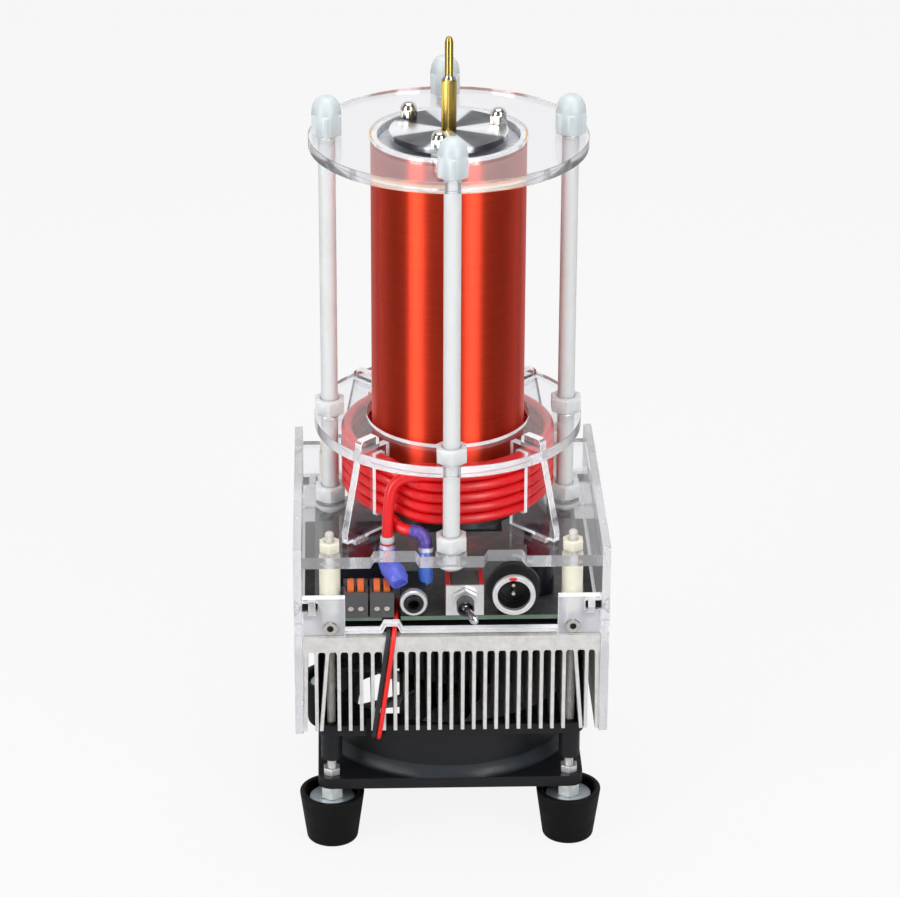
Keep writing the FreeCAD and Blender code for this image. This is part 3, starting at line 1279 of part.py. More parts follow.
def primary_support(name, angle):
    """A clear bracket with a tab into the deck, one through the ring and a slot round the turns."""
    body = new_body(name)
    shape = sketch(body, f"{name}_outline", "XZ_Plane", "-sheet_thickness / 2")
    shoulder = f"{RING_TOP} + support_tab_rise * 0.6"
    summit = f"{RING_TOP} + support_tab_rise"
    outline(shape, [(SUPPORT_INNER, DECK_TOP), (KEY_INNER, DECK_TOP), (KEY_INNER, DECK_FLOOR),
                    (KEY_OUTER, DECK_FLOOR), (KEY_OUTER, DECK_TOP), (SUPPORT_FOOT, DECK_TOP),
                    (SUPPORT_FOOT, f"{DECK_TOP} + support_height * 0.12"),
                    (f"{TURN_RADIUS} + support_top", RING_FLOOR),
                    (TAB_OUTER, RING_FLOOR), (TAB_OUTER, shoulder),
                    (f"{TAB_OUTER} - support_tab_rise * 0.4", summit),
                    (f"{TAB_INNER} + support_tab_rise * 0.4", summit), (TAB_INNER, shoulder),
                    (TAB_INNER, RING_FLOOR), (SUPPORT_INNER, RING_FLOOR)])
    half = "(wire_diameter / 2 + slot_clearance)"
    rectangle(shape, f"{TURN_RADIUS} - {half}", f"{TURNS_FLOOR} - slot_clearance",
              f"{TURN_RADIUS} + {half}", f"{TURNS_TOP} + slot_clearance")
    pad(body, f"{name}_sheet", shape, "sheet_thickness")
    return place(body, "0", "0", "0", FreeCAD.Rotation(Vector(0, 0, 1), float(angle)))


for name, angle in SUPPORT_ANGLES.items():
    keep(primary_support(f"primary_support_{name}", angle))


def primary_turns():
    """The stacked turns as one ring with a rounded ridge for each turn."""
    body = new_body("primary_turns")
    profile = sketch(body, "turns_profile", "XZ_Plane")
    inner = f"({TURN_RADIUS} - wire_diameter / 2)"
    outer = TURNS_EDGE
    count = round(number("turn_count"))
    corners = [(inner, TURNS_FLOOR), (inner, f"{TURNS_FLOOR} + {count - 1} * turn_pitch + wire_diameter")]
    for index in reversed(range(count)):
        low = f"({TURNS_FLOOR} + {index} * turn_pitch)"
        top = f"{low} + wire_diameter"
        corners += [(TURN_RADIUS, top)] if index == count - 1 else []
        corners += [(f"{outer} - wire_diameter * 0.14", f"{low} + wire_diameter * 0.86"),
                    (outer, f"{low} + wire_diameter * 0.6"), (outer, f"{low} + wire_diameter * 0.4"),
                    (f"{outer} - wire_diameter * 0.14", f"{low} + wire_diameter * 0.14")]
        groove = f"{outer} - wire_diameter * 0.36"
        gap = (groove, f"{low} - (turn_pitch - wire_diameter) / 2")
        corners.append(gap if index else (TURN_RADIUS, low))
    outline(profile, corners)
    turn(body, "turns", profile)
    return body


def spot(hole):
    """A lead hole's place now."""
    return number(hole[0]), number(hole[1])


def sleeve_start():
    """Where the violet sleeve begins, beside its hole in the deck."""
    x, y = spot(ARCH_HOLE)
    return x - 5.1, y + 1.4, number(f"{DECK_TOP} + arch_lead_rise")


def primary_coil():
    """The turns with the lead from the top turn and the lead from the lowest one."""
    top = number(f"{TURNS_TOP} - wire_diameter / 2")
    low = number(f"{TURNS_FLOOR} + wire_diameter / 2")
    radius = number(TURN_RADIUS)
    x, y = spot(LEAD_HOLE)
    upper = cord_solid("lead from the top turn",
                       [(-0.27 * radius, -0.963 * radius, top), (x + 4.0, y + 1.3, top - 0.4),
                        (x, y, top - 6), (x, y, number(DECK_FLOOR))], "wire_diameter")
    end_x, end_y, over = sleeve_start()
    lower = cord_solid("lead from the lowest turn",
                       [(-0.654 * radius, -0.751 * radius, low), (x + 1.2, y + 5.2, low - 1.2),
                        (end_x - 3.0, end_y + 0.82, over), (end_x, end_y, over)], "wire_diameter")
    doc.recompute()
    return shaped("primary_coil", turns.Shape.multiFuse([upper, lower]))


turns = primary_turns()
keep(primary_coil())


def primary_sleeves():
    """The blue sleeve below the deck and the violet one that dips through it."""
    below = number(DECK_FLOOR)
    x, y = spot(LEAD_HOLE)
    blue = cord_solid("blue sleeve", [(x, y, below), (x, y, below - 4.0), (x + 3.2, y - 7.2, below - 4.0),
                                      (x + 5.0, y - 10.7, below - 6.2)], "sleeve_diameter")
    start_x, start_y, over = sleeve_start()
    x, y = spot(ARCH_HOLE)
    violet = cord_solid("violet sleeve", [(start_x, start_y, over), (x, y, over), (x, y, below - 7.8)],
                        "arch_sleeve_diameter")
    return shaped("primary_sleeves", Part.makeCompound([blue, violet]))


keep(primary_sleeves())


# Secondary and the electrode on top

FORMER_INNER = "(former_diameter / 2 - former_wall)"
keep(turned("secondary_former", [(FORMER_INNER, DECK_TOP), ("former_diameter / 2", DECK_TOP),
                                 ("former_diameter / 2", COIL_TOP), (FORMER_INNER, COIL_TOP)]))
keep(turned("secondary_winding", [("former_diameter / 2", f"{DECK_TOP} + winding_margin"),
                                  (WOUND, f"{DECK_TOP} + winding_margin"),
                                  (WOUND, f"{COIL_TOP} - winding_margin / 2"),
                                  ("former_diameter / 2", f"{COIL_TOP} - winding_margin / 2")]))


def drilled_disc(name, bottom, radius, thickness, bevel):
    """A round plate with a centre hole and three screw holes."""
    body = new_body(name)
    shape = sketch(body, f"{name}_outline", "XY_Plane", bottom)
    circle(shape, "0", "0", radius)
    circle(shape, "0", "0", SHANK_HOLE)
    for x, y, _ in on_disc("0"):
        circle(shape, x, y, SHANK_HOLE)
    pad(body, f"{name}_plate", shape, thickness)
    if bevel:
        doc.recompute()
        dress(body, "Chamfer", f"{name}_bevel",
              rim(body.Shape, number(radius), number(f"{bottom} + {thickness}")), bevel)
    return body


keep(drilled_disc("top_cap", f"{CAP_TOP} - cap_thickness", f"{FORMER_INNER} - cap_clearance",
                  "cap_thickness", None))
keep(drilled_disc("electrode_disc", DISC_FLOOR, "disc_diameter / 2", "disc_thickness", "disc_bevel"))

SCREW_REACH = "(cap_thickness + nut_height + disc_thickness + disc_nut_grip)"
disc_screw = turned("disc_screw", [("0", "-screw_head_height"), ("screw_head / 2", "-screw_head_height"),
                                   ("screw_head / 2", "0"), ("screw_diameter / 2", "0"),
                                   ("screw_diameter / 2", SCREW_REACH), ("0", SCREW_REACH)])
keep(group("electrode_screws", copies("disc_screw_at", disc_screw, on_disc(f"{CAP_TOP} - cap_thickness"))))
disc_nut = cap_nut("disc_nut", "nut_across", "disc_nut_hex", "disc_nut_dome",
                   "screw_diameter / 2 + sheet_clearance / 2", "disc_nut_grip + sheet_clearance")
keep(group("electrode_cap_nuts", copies("disc_nut_at", disc_nut, on_disc(DISC_TOP))))


def point_standoff():
    """A brass hex with a bevelled top, a blind bore for the point and a stud through the disc."""
    body = new_body("needle_standoff")
    section = sketch(body, "standoff_section", "XY_Plane", DISC_TOP)
    hexagon(section, "point_standoff_across")
    pad(body, "standoff_length", section, "point_standoff_length")
    doc.recompute()
    top = number(f"{DISC_TOP} + point_standoff_length")
    edges = [f"Edge{index}" for index, edge in enumerate(body.Shape.Edges, start=1)
             if abs(edge.BoundBox.ZMin - top) < 0.02]
    dress(body, "Chamfer", "standoff_bevel", edges, "point_standoff_bevel")
    stud = sketch(body, "stud_section", "XY_Plane", f"{CAP_TOP} - cap_thickness / 2")
    circle(stud, "0", "0", "bolt_diameter / 2")
    pad(body, "stud", stud, "cap_thickness / 2 + nut_height + disc_thickness + 1")
    bore = sketch(body, "point_bore", "XY_Plane", f"{DISC_TOP} + point_standoff_length")
    circle(bore, "0", "0", "point_diameter / 2 + point_fit")
    pocket(body, "point_bore_cut", bore, "2 * point_grip")
    return body


keep(point_standoff())
POINT_FLOOR = f"({DISC_TOP} + point_standoff_length - point_grip)"
POINT_TIP = f"({DISC_TOP} + point_standoff_length + point_length)"
keep(turned("discharge_needle", [("0", POINT_FLOOR), ("point_diameter / 2", POINT_FLOOR),
                                 ("point_diameter / 2", f"{POINT_TIP} - point_diameter * 0.6"),
                                 ("point_diameter * 0.32", POINT_TIP), ("0", POINT_TIP)]))


# Fasteners shared by several joints

m3_nut = hex_piece("m3_nut", "nut_across", "nut_height", SHANK_HOLE)
button_screw = turned("button_screw", [("0", "-screw_length"), ("screw_diameter / 2", "-screw_length"),
                                       ("screw_diameter / 2", "0"), ("screw_head / 2", "0"),
                                       ("screw_head / 2", "screw_head_height"),
                                       ("0", "screw_head_height")])
cone_end = "-flush_land - (flush_head - screw_diameter) / 2"
flush_screw = turned("flush_screw", [("0", "-screw_length"), ("screw_diameter / 2", "-screw_length"),
                                     ("screw_diameter / 2", cone_end), ("flush_head / 2", "-flush_land"),
                                     ("flush_head / 2", "0"), ("0", "0")])
nut_x = f"({SHEET_EDGE} - {NUT_DEPTH} - nut_slack)"

nuts = copies("fan_nut_at", m3_nut, at_corners(f"{FAN_FLOOR} + fan_flange"))
nuts += copies("disc_nut_under", m3_nut, on_disc(CAP_TOP))
side_screws = []
for hand, sign, way in (("right", "", to_right), ("left", "-", to_left)):
    nut_places = [(f"{sign}({nut_x} - nut_height)", y, z) for y, z in in_panels]
    nuts += copies(f"panel_nut_{hand}", m3_nut, nut_places, way)
    head_places = [(f"{sign}{PLATE_OUTER}", y, z) for y, z in in_panels]
    side_screws += copies(f"panel_screw_{hand}", flush_screw, head_places, way)
keep(group("m3_nuts", nuts))
keep(group("panel_screws", side_screws))
board_screws = copies("board_screw_at", button_screw, [(x, y, BOARD_TOP) for x, y in at_board])
keep(group("button_screws", board_screws))


# Leads held along their whole route

def fan_lead():
    """The fan's red and black wires: under the arch, down the fins and into the fan's frame."""
    board = number(f"{BOARD_TOP} + fan_wire / 2")
    sink = number(f"{SINK_TOP} + fan_wire / 2")
    fan = number(FAN_TOP)
    face = -number("sink_depth / 2 + fan_wire / 2") - 0.3
    arch = -number("arch_x")
    inlet = arch - number("lead_slant")
    gap = number("fan_wire") / 2 + 0.05
    edge = -number(BOARD_END)
    front = -number("fan_size / 2")
    right = arch + 2.1
    red = cord_solid("red fan wire", [(right, edge + 11.0, board), (right, edge + 2.9, board),
                                      (arch + gap, edge - 0.5, sink + 1.0), (arch + gap, face, sink + 0.8),
                                      (inlet + gap, face, fan - 3.0), (inlet + gap, front + 2.6, fan - 4.8),
                                      (inlet + gap, front + 6.5, fan - 7.0)], "fan_wire")
    black = cord_solid("black fan wire", [(arch - gap, edge + 11.0, sink + 0.2),
                                          (arch - gap, edge - 0.5, sink + 0.8),
                                          (arch - gap, face, sink + 0.8), (inlet - gap, face, fan - 3.0),
                                          (inlet - gap, front + 2.6, fan - 4.8),
                                          (inlet - gap, front + 6.7, fan - 7.0)], "fan_wire")
    return shaped("fan_lead", Part.makeCompound([red, black]))


keep(fan_lead())


# Proof and export

doc.recompute()
for item in doc.Objects:
    if "Invalid" in item.State or "Error" in item.State:
        raise ValueError(f"{item.Label} failed: {item.State}")
for item in parts:
    if item.Shape.isNull() or not item.Shape.isValid() or not item.Shape.Solids:
        raise ValueError(f"{item.Label} has no sound shape")
os.makedirs("parts", exist_ok=True)
for item in parts:
    item.Shape.exportStep(f"parts/{item.Label}.step")
print(len(parts), "sub-parts written")
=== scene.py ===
import json
import math

import bmesh
import bpy
from mathutils import Matrix, Vector


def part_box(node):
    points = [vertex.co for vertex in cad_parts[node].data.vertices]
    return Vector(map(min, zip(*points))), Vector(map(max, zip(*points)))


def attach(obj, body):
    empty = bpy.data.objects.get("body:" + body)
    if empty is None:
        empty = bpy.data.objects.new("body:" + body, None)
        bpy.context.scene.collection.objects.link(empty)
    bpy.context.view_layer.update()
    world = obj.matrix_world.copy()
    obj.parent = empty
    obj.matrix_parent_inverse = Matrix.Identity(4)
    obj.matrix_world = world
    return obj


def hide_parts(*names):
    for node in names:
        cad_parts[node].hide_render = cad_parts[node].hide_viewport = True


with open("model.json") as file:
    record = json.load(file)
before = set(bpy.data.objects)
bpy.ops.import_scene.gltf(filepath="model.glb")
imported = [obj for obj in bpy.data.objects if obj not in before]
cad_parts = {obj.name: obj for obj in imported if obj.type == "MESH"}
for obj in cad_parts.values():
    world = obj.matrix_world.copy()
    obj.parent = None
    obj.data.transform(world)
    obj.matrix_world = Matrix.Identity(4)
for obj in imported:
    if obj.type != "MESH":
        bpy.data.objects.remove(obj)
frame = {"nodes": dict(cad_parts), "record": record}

# A desktop resonant transformer. Metres, in the frame's own axes: +Z up, controls towards -Y.

MM = 0.001
M3 = 1.5 * MM                # radius of an M3 thread
M3_HOLE = 1.7 * MM           # radius of a hole that it goes through
QUARTER = math.pi / 2
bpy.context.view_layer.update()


# Materials

class Graph:
    """Short calls that build a node tree."""

    def __init__(self, tree):
        self.tree = tree

    def node(self, kind, **settings):
        made = self.tree.nodes.new(kind)
        for key, value in settings.items():
            setattr(made, key, value)
        return made

    def link(self, source, target):
        self.tree.links.new(source, target)

    def combine(self, operation, first, second):
        made = self.node("ShaderNodeMath", operation=operation)
        self.link(first, made.inputs[0])
        self.link(second, made.inputs[1])
        return made.outputs[0]

    def remap(self, source, low, high, from_low=0.0, from_high=1.0):
        spread = self.node("ShaderNodeMapRange")
        limits = {"From Min": from_low, "From Max": from_high, "To Min": low, "To Max": high}
        for socket, value in limits.items():
            spread.inputs[socket].default_value = value
        self.link(source, spread.inputs["Value"])
        return spread.outputs["Result"]


class Finish(Graph):
    """A Principled material whose colour, roughness and bump vary with the place on the object."""

    def __init__(self, name, colour, roughness, metallic=0.0, **sockets):
        self.material = bpy.data.materials.new(name)
        self.material.use_nodes = True
        super().__init__(self.material.node_tree)
        self.shader = self.tree.nodes["Principled BSDF"]
        self.colour = colour
        self.shader.inputs["Base Color"].default_value = (*colour, 1.0)
        self.shader.inputs["Roughness"].default_value = roughness
        self.shader.inputs["Metallic"].default_value = metallic
        for socket, value in sockets.items():
            self.shader.inputs[socket.replace("_", " ")].default_value = value
        self.place = self.node("ShaderNodeTexCoord").outputs["Object"]
        self.height = None

    def stretched(self, scale):
        """The place on the object, scaled apart along X, Y and Z."""
        mapping = self.node("ShaderNodeMapping")
        mapping.inputs["Scale"].default_value = scale
        self.link(self.place, mapping.inputs["Vector"])
        return mapping.outputs["Vector"]

    def noise(self, scale, detail=3.0, place=None):
        texture = self.node("ShaderNodeTexNoise")
        texture.inputs["Scale"].default_value = scale
        texture.inputs["Detail"].default_value = detail
        texture.inputs["Roughness"].default_value = 0.6
        self.link(place or self.place, texture.inputs["Vector"])
        return texture.outputs["Fac"]

    def bands(self, pitch, axis="Z", profile="SIN"):
        """Parallel ridges across one axis, one per pitch."""
        wave = self.node("ShaderNodeTexWave", bands_direction=axis, wave_profile=profile)
        wave.inputs["Scale"].default_value = math.pi / (10 * pitch)
        self.link(self.place, wave.inputs["Vector"])
        return wave.outputs["Fac"]

    def ramp(self, source, stops):
        ramp = self.node("ShaderNodeValToRGB")
        while len(ramp.color_ramp.elements) < len(stops):
            ramp.color_ramp.elements.new(0.5)
        for element, (position, colour) in zip(ramp.color_ramp.elements, stops):
            element.position = position
            element.color = (*colour, 1.0)
        self.link(source, ramp.inputs["Fac"])
        self.link(ramp.outputs["Color"], self.shader.inputs["Base Color"])
        return self

    def mottled(self, scale, amount, place=None):
        """Colour that drifts a little lighter and darker."""
        dark, light = (tuple(min(c * factor, 1.0) for c in self.colour)
                       for factor in (1 - amount, 1 + amount))
        return self.ramp(self.noise(scale, place=place), [(0.3, dark), (0.7, light)])

    def worn(self, scale, low, high, place=None):
        """Roughness that varies from place to place."""
        drift = self.remap(self.noise(scale, 4.0, place), low, high, 0.3, 0.7)
        self.link(drift, self.shader.inputs["Roughness"])
        return self

    def relief(self, source, depth, strength=1.0):
        """Bump of a given depth in metres, on top of what is there."""
        bump = self.node("ShaderNodeBump")
        bump.inputs["Strength"].default_value = strength
        bump.inputs["Distance"].default_value = depth
        self.link(source, bump.inputs["Height"])
        if self.height is not None:
            self.link(self.height, bump.inputs["Normal"])
        self.height = bump.outputs["Normal"]
        self.link(self.height, self.shader.inputs["Normal"])
        return self

    def tangent(self):
        """Highlights drawn out round the object's axis."""
        ring = self.node("ShaderNodeTangent", direction_type="RADIAL", axis="Z")
        self.link(ring.outputs["Tangent"], self.shader.inputs["Tangent"])
        return self

    def mixed(self, share, other):
        """The finish where share is 0, and another shader where it is 1."""
        mix = self.node("ShaderNodeMixShader")
        self.link(share, mix.inputs["Fac"])
        self.link(self.shader.outputs["BSDF"], mix.inputs[1])
        self.link(other, mix.inputs[2])
        self.link(mix.outputs["Shader"], self.tree.nodes["Material Output"].inputs["Surface"])
        return self.material


def rubber():
    finish = Finish("rubber", (0.0035, 0.0035, 0.004), 0.5, Specular_IOR_Level=0.16)
    finish.mottled(900, 0.3).worn(260, 0.42, 0.62)
    return finish.relief(finish.noise(2600, 2.0), 0.00003, 0.3).material


def moulded(name, colour, roughness=0.42, shine=0.45):
    """Injection-moulded plastic with a fine spark-eroded grain."""
    finish = Finish(name, colour, roughness, Specular_IOR_Level=shine)
    finish.mottled(140, 0.1).worn(320, roughness * 0.8, roughness * 1.25)
    return finish.relief(finish.noise(2200, 2.0), 0.00001, 0.3).material


def plated(name, colour, roughness=0.16, metallic=1.0):
    """Bright plating, a little cloudy, with faint handling marks."""
    finish = Finish(name, colour, roughness, metallic)
    finish.mottled(420, 0.06).worn(500, roughness * 0.8, roughness * 1.3)
    return finish.relief(finish.noise(600, 2.0), 0.00001, 0.2).material


def drawn(name, colour, roughness):
    """Smooth drawn bar, tarnished a little in long streaks."""
    finish = Finish(name, colour, roughness, 1.0)
    along = finish.stretched((1.0, 1.0, 0.06))
    finish.mottled(300, 0.10, along).worn(500, roughness * 0.7, roughness * 1.5, along)
    return finish.relief(finish.noise(2400, 2.0, along), 0.000008, 0.3).material


def threaded(name, colour, pitch, axis, roughness, metallic=1.0):
    """A screw thread's ridges along one axis."""
    finish = Finish(name, colour, roughness, metallic)
    finish.mottled(500, 0.1).worn(800, roughness * 0.7, roughness * 1.6)
    return finish.relief(finish.bands(pitch, axis, "TRI"), pitch * 0.5, 0.9).material


def extruded():
    """Satin extruded aluminium with die lines along the fins."""
    finish = Finish("extruded_aluminium", (0.755, 0.745, 0.73), 0.38, 0.7)
    lines = finish.stretched((1.0, 0.02, 1.0))
    finish.mottled(380, 0.1, lines).worn(900, 0.28, 0.5, lines)
    return finish.relief(finish.noise(3800, 2.0, lines), 0.00003, 0.5).material


def turned_face():
    """Face-turned aluminium with fine rings round the axis; its light and dark wedges are painted
    into the colour by the angle round the axis, a painted reflection.
    """
    finish = Finish("turned_aluminium", (0.66, 0.67, 0.69), 0.34, 1.0,
                    Anisotropic=0.7, Anisotropic_Rotation=0.25)
    flat = finish.stretched((1.0, 1.0, 0.0))
    radius = finish.node("ShaderNodeVectorMath", operation="LENGTH")
    finish.link(flat, radius.inputs[0])
    rings = finish.node("ShaderNodeTexNoise", noise_dimensions="1D")
    rings.inputs["Scale"].default_value = 3200
    rings.inputs["Detail"].default_value = 2.0
    finish.link(radius.outputs["Value"], rings.inputs["W"])

    # Painted reflection: four light and four dark wedges of colour by angle, standing for the
    # lamps' highlights on the turned rings.
    wedges = 4
    direction = finish.node("ShaderNodeTexGradient", gradient_type="RADIAL")
    finish.link(flat, direction.inputs["Vector"])
    turns = finish.node("ShaderNodeMath", operation="MULTIPLY_ADD")
    finish.link(direction.outputs["Fac"], turns.inputs[0])
    turns.inputs[1].default_value = wedges * 2 * math.pi
    turns.inputs[2].default_value = 0.1
    wave = finish.node("ShaderNodeMath", operation="COSINE")
    finish.link(turns.outputs[0], wave.inputs[0])
    finish.ramp(finish.remap(wave.outputs[0], 0.0, 1.0, -1.0, 1.0),
                [(0.0, (0.115, 0.117, 0.13)), (0.40, (0.16, 0.162, 0.175)),
                 (0.56, (0.80, 0.82, 0.86)), (1.0, (0.92, 0.94, 0.97))])
    finish.worn(300, 0.28, 0.40)
    return finish.relief(rings.outputs["Fac"], 0.00001, 0.5).tangent().material


def laminate():
    """Dark solder mask on a board, with faint copper runs under it."""
    finish = Finish("solder_mask", (0.036, 0.036, 0.039), 0.32)
    cells = finish.node("ShaderNodeTexVoronoi", feature="DISTANCE_TO_EDGE", distance="CHEBYCHEV")
    cells.inputs["Scale"].default_value = 150
    finish.link(finish.place, cells.inputs["Vector"])
    runs = finish.remap(cells.outputs["Distance"], 1.0, 0.0, 0.02, 0.06)
    finish.ramp(runs, [(0.0, (0.036, 0.035, 0.039)), (1.0, (0.055, 0.065, 0.060))])
    return finish.relief(runs, 0.00003, 0.6).material


def nylon(name, colour):
    """Milky nylon: light goes in a little way, and the surface is waxy."""
    finish = Finish(name, colour, 0.38, Subsurface_Weight=0.55, Subsurface_Scale=0.004,
                    Transmission_Weight=0.12, IOR=1.52, Coat_Weight=0.15, Coat_Roughness=0.25)
    finish.shader.inputs["Subsurface Radius"].default_value = (1.0, 0.9, 0.75)
    finish.mottled(90, 0.03).worn(240, 0.3, 0.48)
    return finish.relief(finish.noise(600, 2.0), 0.00004, 0.3).material


def through_shadow(finish, share):
    """Lets direct light through, as clear sheet does."""
    clear = finish.node("ShaderNodeBsdfTransparent")
    clear.inputs["Color"].default_value = (share, share, share, 1.0)
    shadow = finish.node("ShaderNodeLightPath").outputs["Is Shadow Ray"]
    return finish.mixed(shadow, clear.outputs["BSDF"])


ACRYLIC_IOR = 1.49


def acrylic():
    """Clear cast sheet with faint wipe marks."""
    finish = Finish("clear_acrylic", (0.90, 0.90, 0.92), 0.02,
                    Transmission_Weight=1.0, IOR=ACRYLIC_IOR)
    finish.worn(60, 0.012, 0.04)
    finish.relief(finish.noise(35, 2.0), 0.00004, 0.2)
    return through_shadow(finish, 0.92)


def veiled_acrylic(name, colour, share, rough):
    """Sheet that still wears its thin protective film, which veils what stands behind it."""
    finish = Finish(name, colour, rough, Transmission_Weight=share, IOR=ACRYLIC_IOR)
    finish.mottled(45, 0.04).worn(30, rough * 0.6, rough * 1.5)
    finish.relief(finish.noise(28, 2.0), 0.00005, 0.2)
    return through_shadow(finish, 0.85)


def acrylic_edge(name, colour, share, rough):
    """Laser-cut rim of a sheet, faintly scored; share is how much of the light goes through."""
    finish = Finish(name, colour, rough, Transmission_Weight=share, IOR=ACRYLIC_IOR)
    scored = finish.stretched((1.0, 1.0, 0.2))
    finish.mottled(220, 0.04).worn(500, rough * 0.7, rough * 1.3, scored)
    finish.relief(finish.noise(420, 2.0, scored), 0.00002, 0.25)
    return through_shadow(finish, 0.85)


def enamelled():
    """Close-wound enamelled wire: fine turns that draw every highlight out along the coil."""
    finish = Finish("enamelled_wire", (0.74, 0.060, 0.026), 0.43, 1.0,
                    Anisotropic=1.0, Anisotropic_Rotation=0.25)
    turns = finish.stretched((0.3, 0.3, 60.0))
    finish.ramp(finish.noise(60, 3.0, turns),
                [(0.25, (0.68, 0.054, 0.023)), (0.75, (0.80, 0.066, 0.029))])
    finish.worn(90, 0.41, 0.46, turns)
    return finish.relief(finish.bands(0.24 * MM), 0.00003, 0.4).tangent().material


def silicone(name, colour):
    """Soft glossy wire insulation, slightly uneven."""
    finish = Finish(name, colour, 0.3, Specular_IOR_Level=0.5, Coat_Weight=0.15, Coat_Roughness=0.3)
    finish.mottled(160, 0.08).worn(420, 0.26, 0.4)
    return finish.relief(finish.noise(500, 2.0), 0.00003, 0.3).material


def shrink_sleeve(name, colour):
    """Heat-shrunk tube with soft wrinkles."""
    finish = Finish(name, colour, 0.4, Coat_Weight=0.25, Coat_Roughness=0.3)
    finish.mottled(220, 0.2).worn(300, 0.28, 0.5)
    return finish.relief(finish.noise(420, 3.0), 0.0004, 0.6).material


MATERIALS = {
    "rubber": rubber(),
    "blade": moulded("blade", (0.60, 0.60, 0.62), 0.4),
    "core": moulded("core", (0.075, 0.068, 0.064), 0.45),
    "zinc": plated("zinc", (0.56, 0.62, 0.68), 0.42, 0.8),
    "bright_zinc": plated("bright_zinc", (0.88, 0.91, 0.88), 0.4, 0.55),
    "chrome": plated("chrome", (0.70, 0.70, 0.72)),
    "satin": plated("satin", (0.80, 0.80, 0.81), 0.34, 0.85),
    "black_oxide": plated("black_oxide", (0.028, 0.028, 0.03), 0.35),
    "bolt_thread": threaded("bolt_thread", (0.80, 0.79, 0.76), 0.5 * MM, "Z", 0.4, 0.65),
    "bushing_thread": threaded("bushing_thread", (0.13, 0.12, 0.13), 0.5 * MM, "Y", 0.35),
    "fan_plastic": moulded("fan_plastic", (0.007, 0.0075, 0.009), 0.4, 0.3),
    # Partly painted sheen: a little more specular than the frame, and painted lighter and bluer for
    # the light along the duct's foot.
    "fan_gloss_and_painted_sheen": moulded("fan_gloss_and_painted_sheen", (0.014, 0.019, 0.024), 0.42, 0.4),
    "aluminium": extruded(),
    "board": laminate(),
    "board_edge": moulded("board_edge", (0.10, 0.16, 0.115), 0.5),
    "nylon": nylon("nylon", (0.68, 0.70, 0.705)),
    "nylon_cap": nylon("nylon_cap", (0.57, 0.63, 0.65)),
    "nylon_aged": nylon("nylon_aged", (0.78, 0.76, 0.62)),
    "acrylic": acrylic(),
    "veiled": veiled_acrylic("veiled_acrylic", (0.74, 0.74, 0.78), 0.70, 0.13),
    "faint_veil": veiled_acrylic("faint_veil", (0.88, 0.88, 0.90), 0.94, 0.05),
    "glossy_edge": acrylic_edge("glossy_edge", (0.84, 0.84, 0.87), 0.86, 0.10),
    "frosted_edge": acrylic_edge("frosted_edge", (0.76, 0.76, 0.785), 0.72, 0.22),
    "white_edge": acrylic_edge("white_edge", (0.93, 0.94, 0.95), 0.15, 0.45),
    # Painted shade: black standing for the shadow under the board, laid on the heatsink.
    "film": moulded("painted_shade_sheet", (0.012, 0.012, 0.014), 0.5, 0.25),
    "black_plastic": moulded("black_plastic", (0.010, 0.010, 0.011), 0.4, 0.3),
    "grey_plastic": moulded("grey_plastic", (0.062, 0.060, 0.062)),
    "orange_plastic": moulded("orange_plastic", (0.52, 0.10, 0.018), 0.4),
    "red_plastic": moulded("red_plastic", (0.55, 0.02, 0.02), 0.35),
    "can_sleeve": moulded("can_sleeve", (0.014, 0.014, 0.022), 0.3, 0.3),
    "red_wire": silicone("red_wire", (0.66, 0.003, 0.006)),
    "fan_red": silicone("fan_red", (0.72, 0.012, 0.008)),
    "fan_black": silicone("fan_black", (0.004, 0.007, 0.007)),
    "blue_sleeve": shrink_sleeve("blue_sleeve", (0.075, 0.10, 0.52)),
    "deep_blue_sleeve": shrink_sleeve("deep_blue_sleeve", (0.045, 0.13, 0.50)),
    "violet_sleeve": shrink_sleeve("violet_sleeve", (0.085, 0.05, 0.30)),
    "former": moulded("former", (0.60, 0.61, 0.64), 0.28),
    "plug": moulded("plug", (0.46, 0.47, 0.50), 0.3),
    # Painted highlight: the orange band of light along the secondary's top turn.
    "painted_top_highlight": moulded("painted_top_highlight", (0.78, 0.36, 0.07), 0.35),
    "winding": enamelled(),
    "turned": turned_face(),
    "brass": drawn("brass", (0.46, 0.33, 0.085), 0.26),
    "nickel": plated("nickel", (0.66, 0.64, 0.60), 0.18),
}


# Mesh building

BODY_OF = {node: body for body, nodes in frame["record"]["behaviour"]["bodies"].items()
           for node in nodes}


def sharpen(mesh, degrees):
    """Smooth shading, broken where two faces meet at more than an angle."""
    bm = bmesh.new()
    bm.from_mesh(mesh)
    for edge in bm.edges:
        edge.smooth = len(edge.link_faces) == 2 and edge.calc_face_angle() < math.radians(degrees)
    bm.to_mesh(mesh)
    bm.free()
    mesh.polygons.foreach_set("use_smooth", [True] * len(mesh.polygons))


def finished(bm, name, nodes, materials, shade=32):
    """Makes the object, which stands for its CAD nodes and rides with them."""
    bmesh.ops.recalc_face_normals(bm, faces=bm.faces)
    mesh = bpy.data.meshes.new(name)
    bm.to_mesh(mesh)
    bm.free()
    sharpen(mesh, shade)
    for material in materials:
        mesh.materials.append(MATERIALS[material])
    return seated(name, mesh, nodes)


def seated(name, data, nodes):
    item = bpy.data.objects.new(name, data)
    bpy.context.scene.collection.objects.link(item)
    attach(item, BODY_OF[nodes[0]])
    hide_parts(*nodes)
    return item


def bevelled(item, width, segments=2, material=-1):
    """Eased edges, in the material of the faces beside them unless one is given."""
    bevel = item.modifiers.new("edges", "BEVEL")
    bevel.width = width
    bevel.segments = segments
    bevel.limit_method = "ANGLE"
    bevel.angle_limit = math.radians(35)
    bevel.harden_normals = True
    bevel.use_clamp_overlap = True
    bevel.material = material


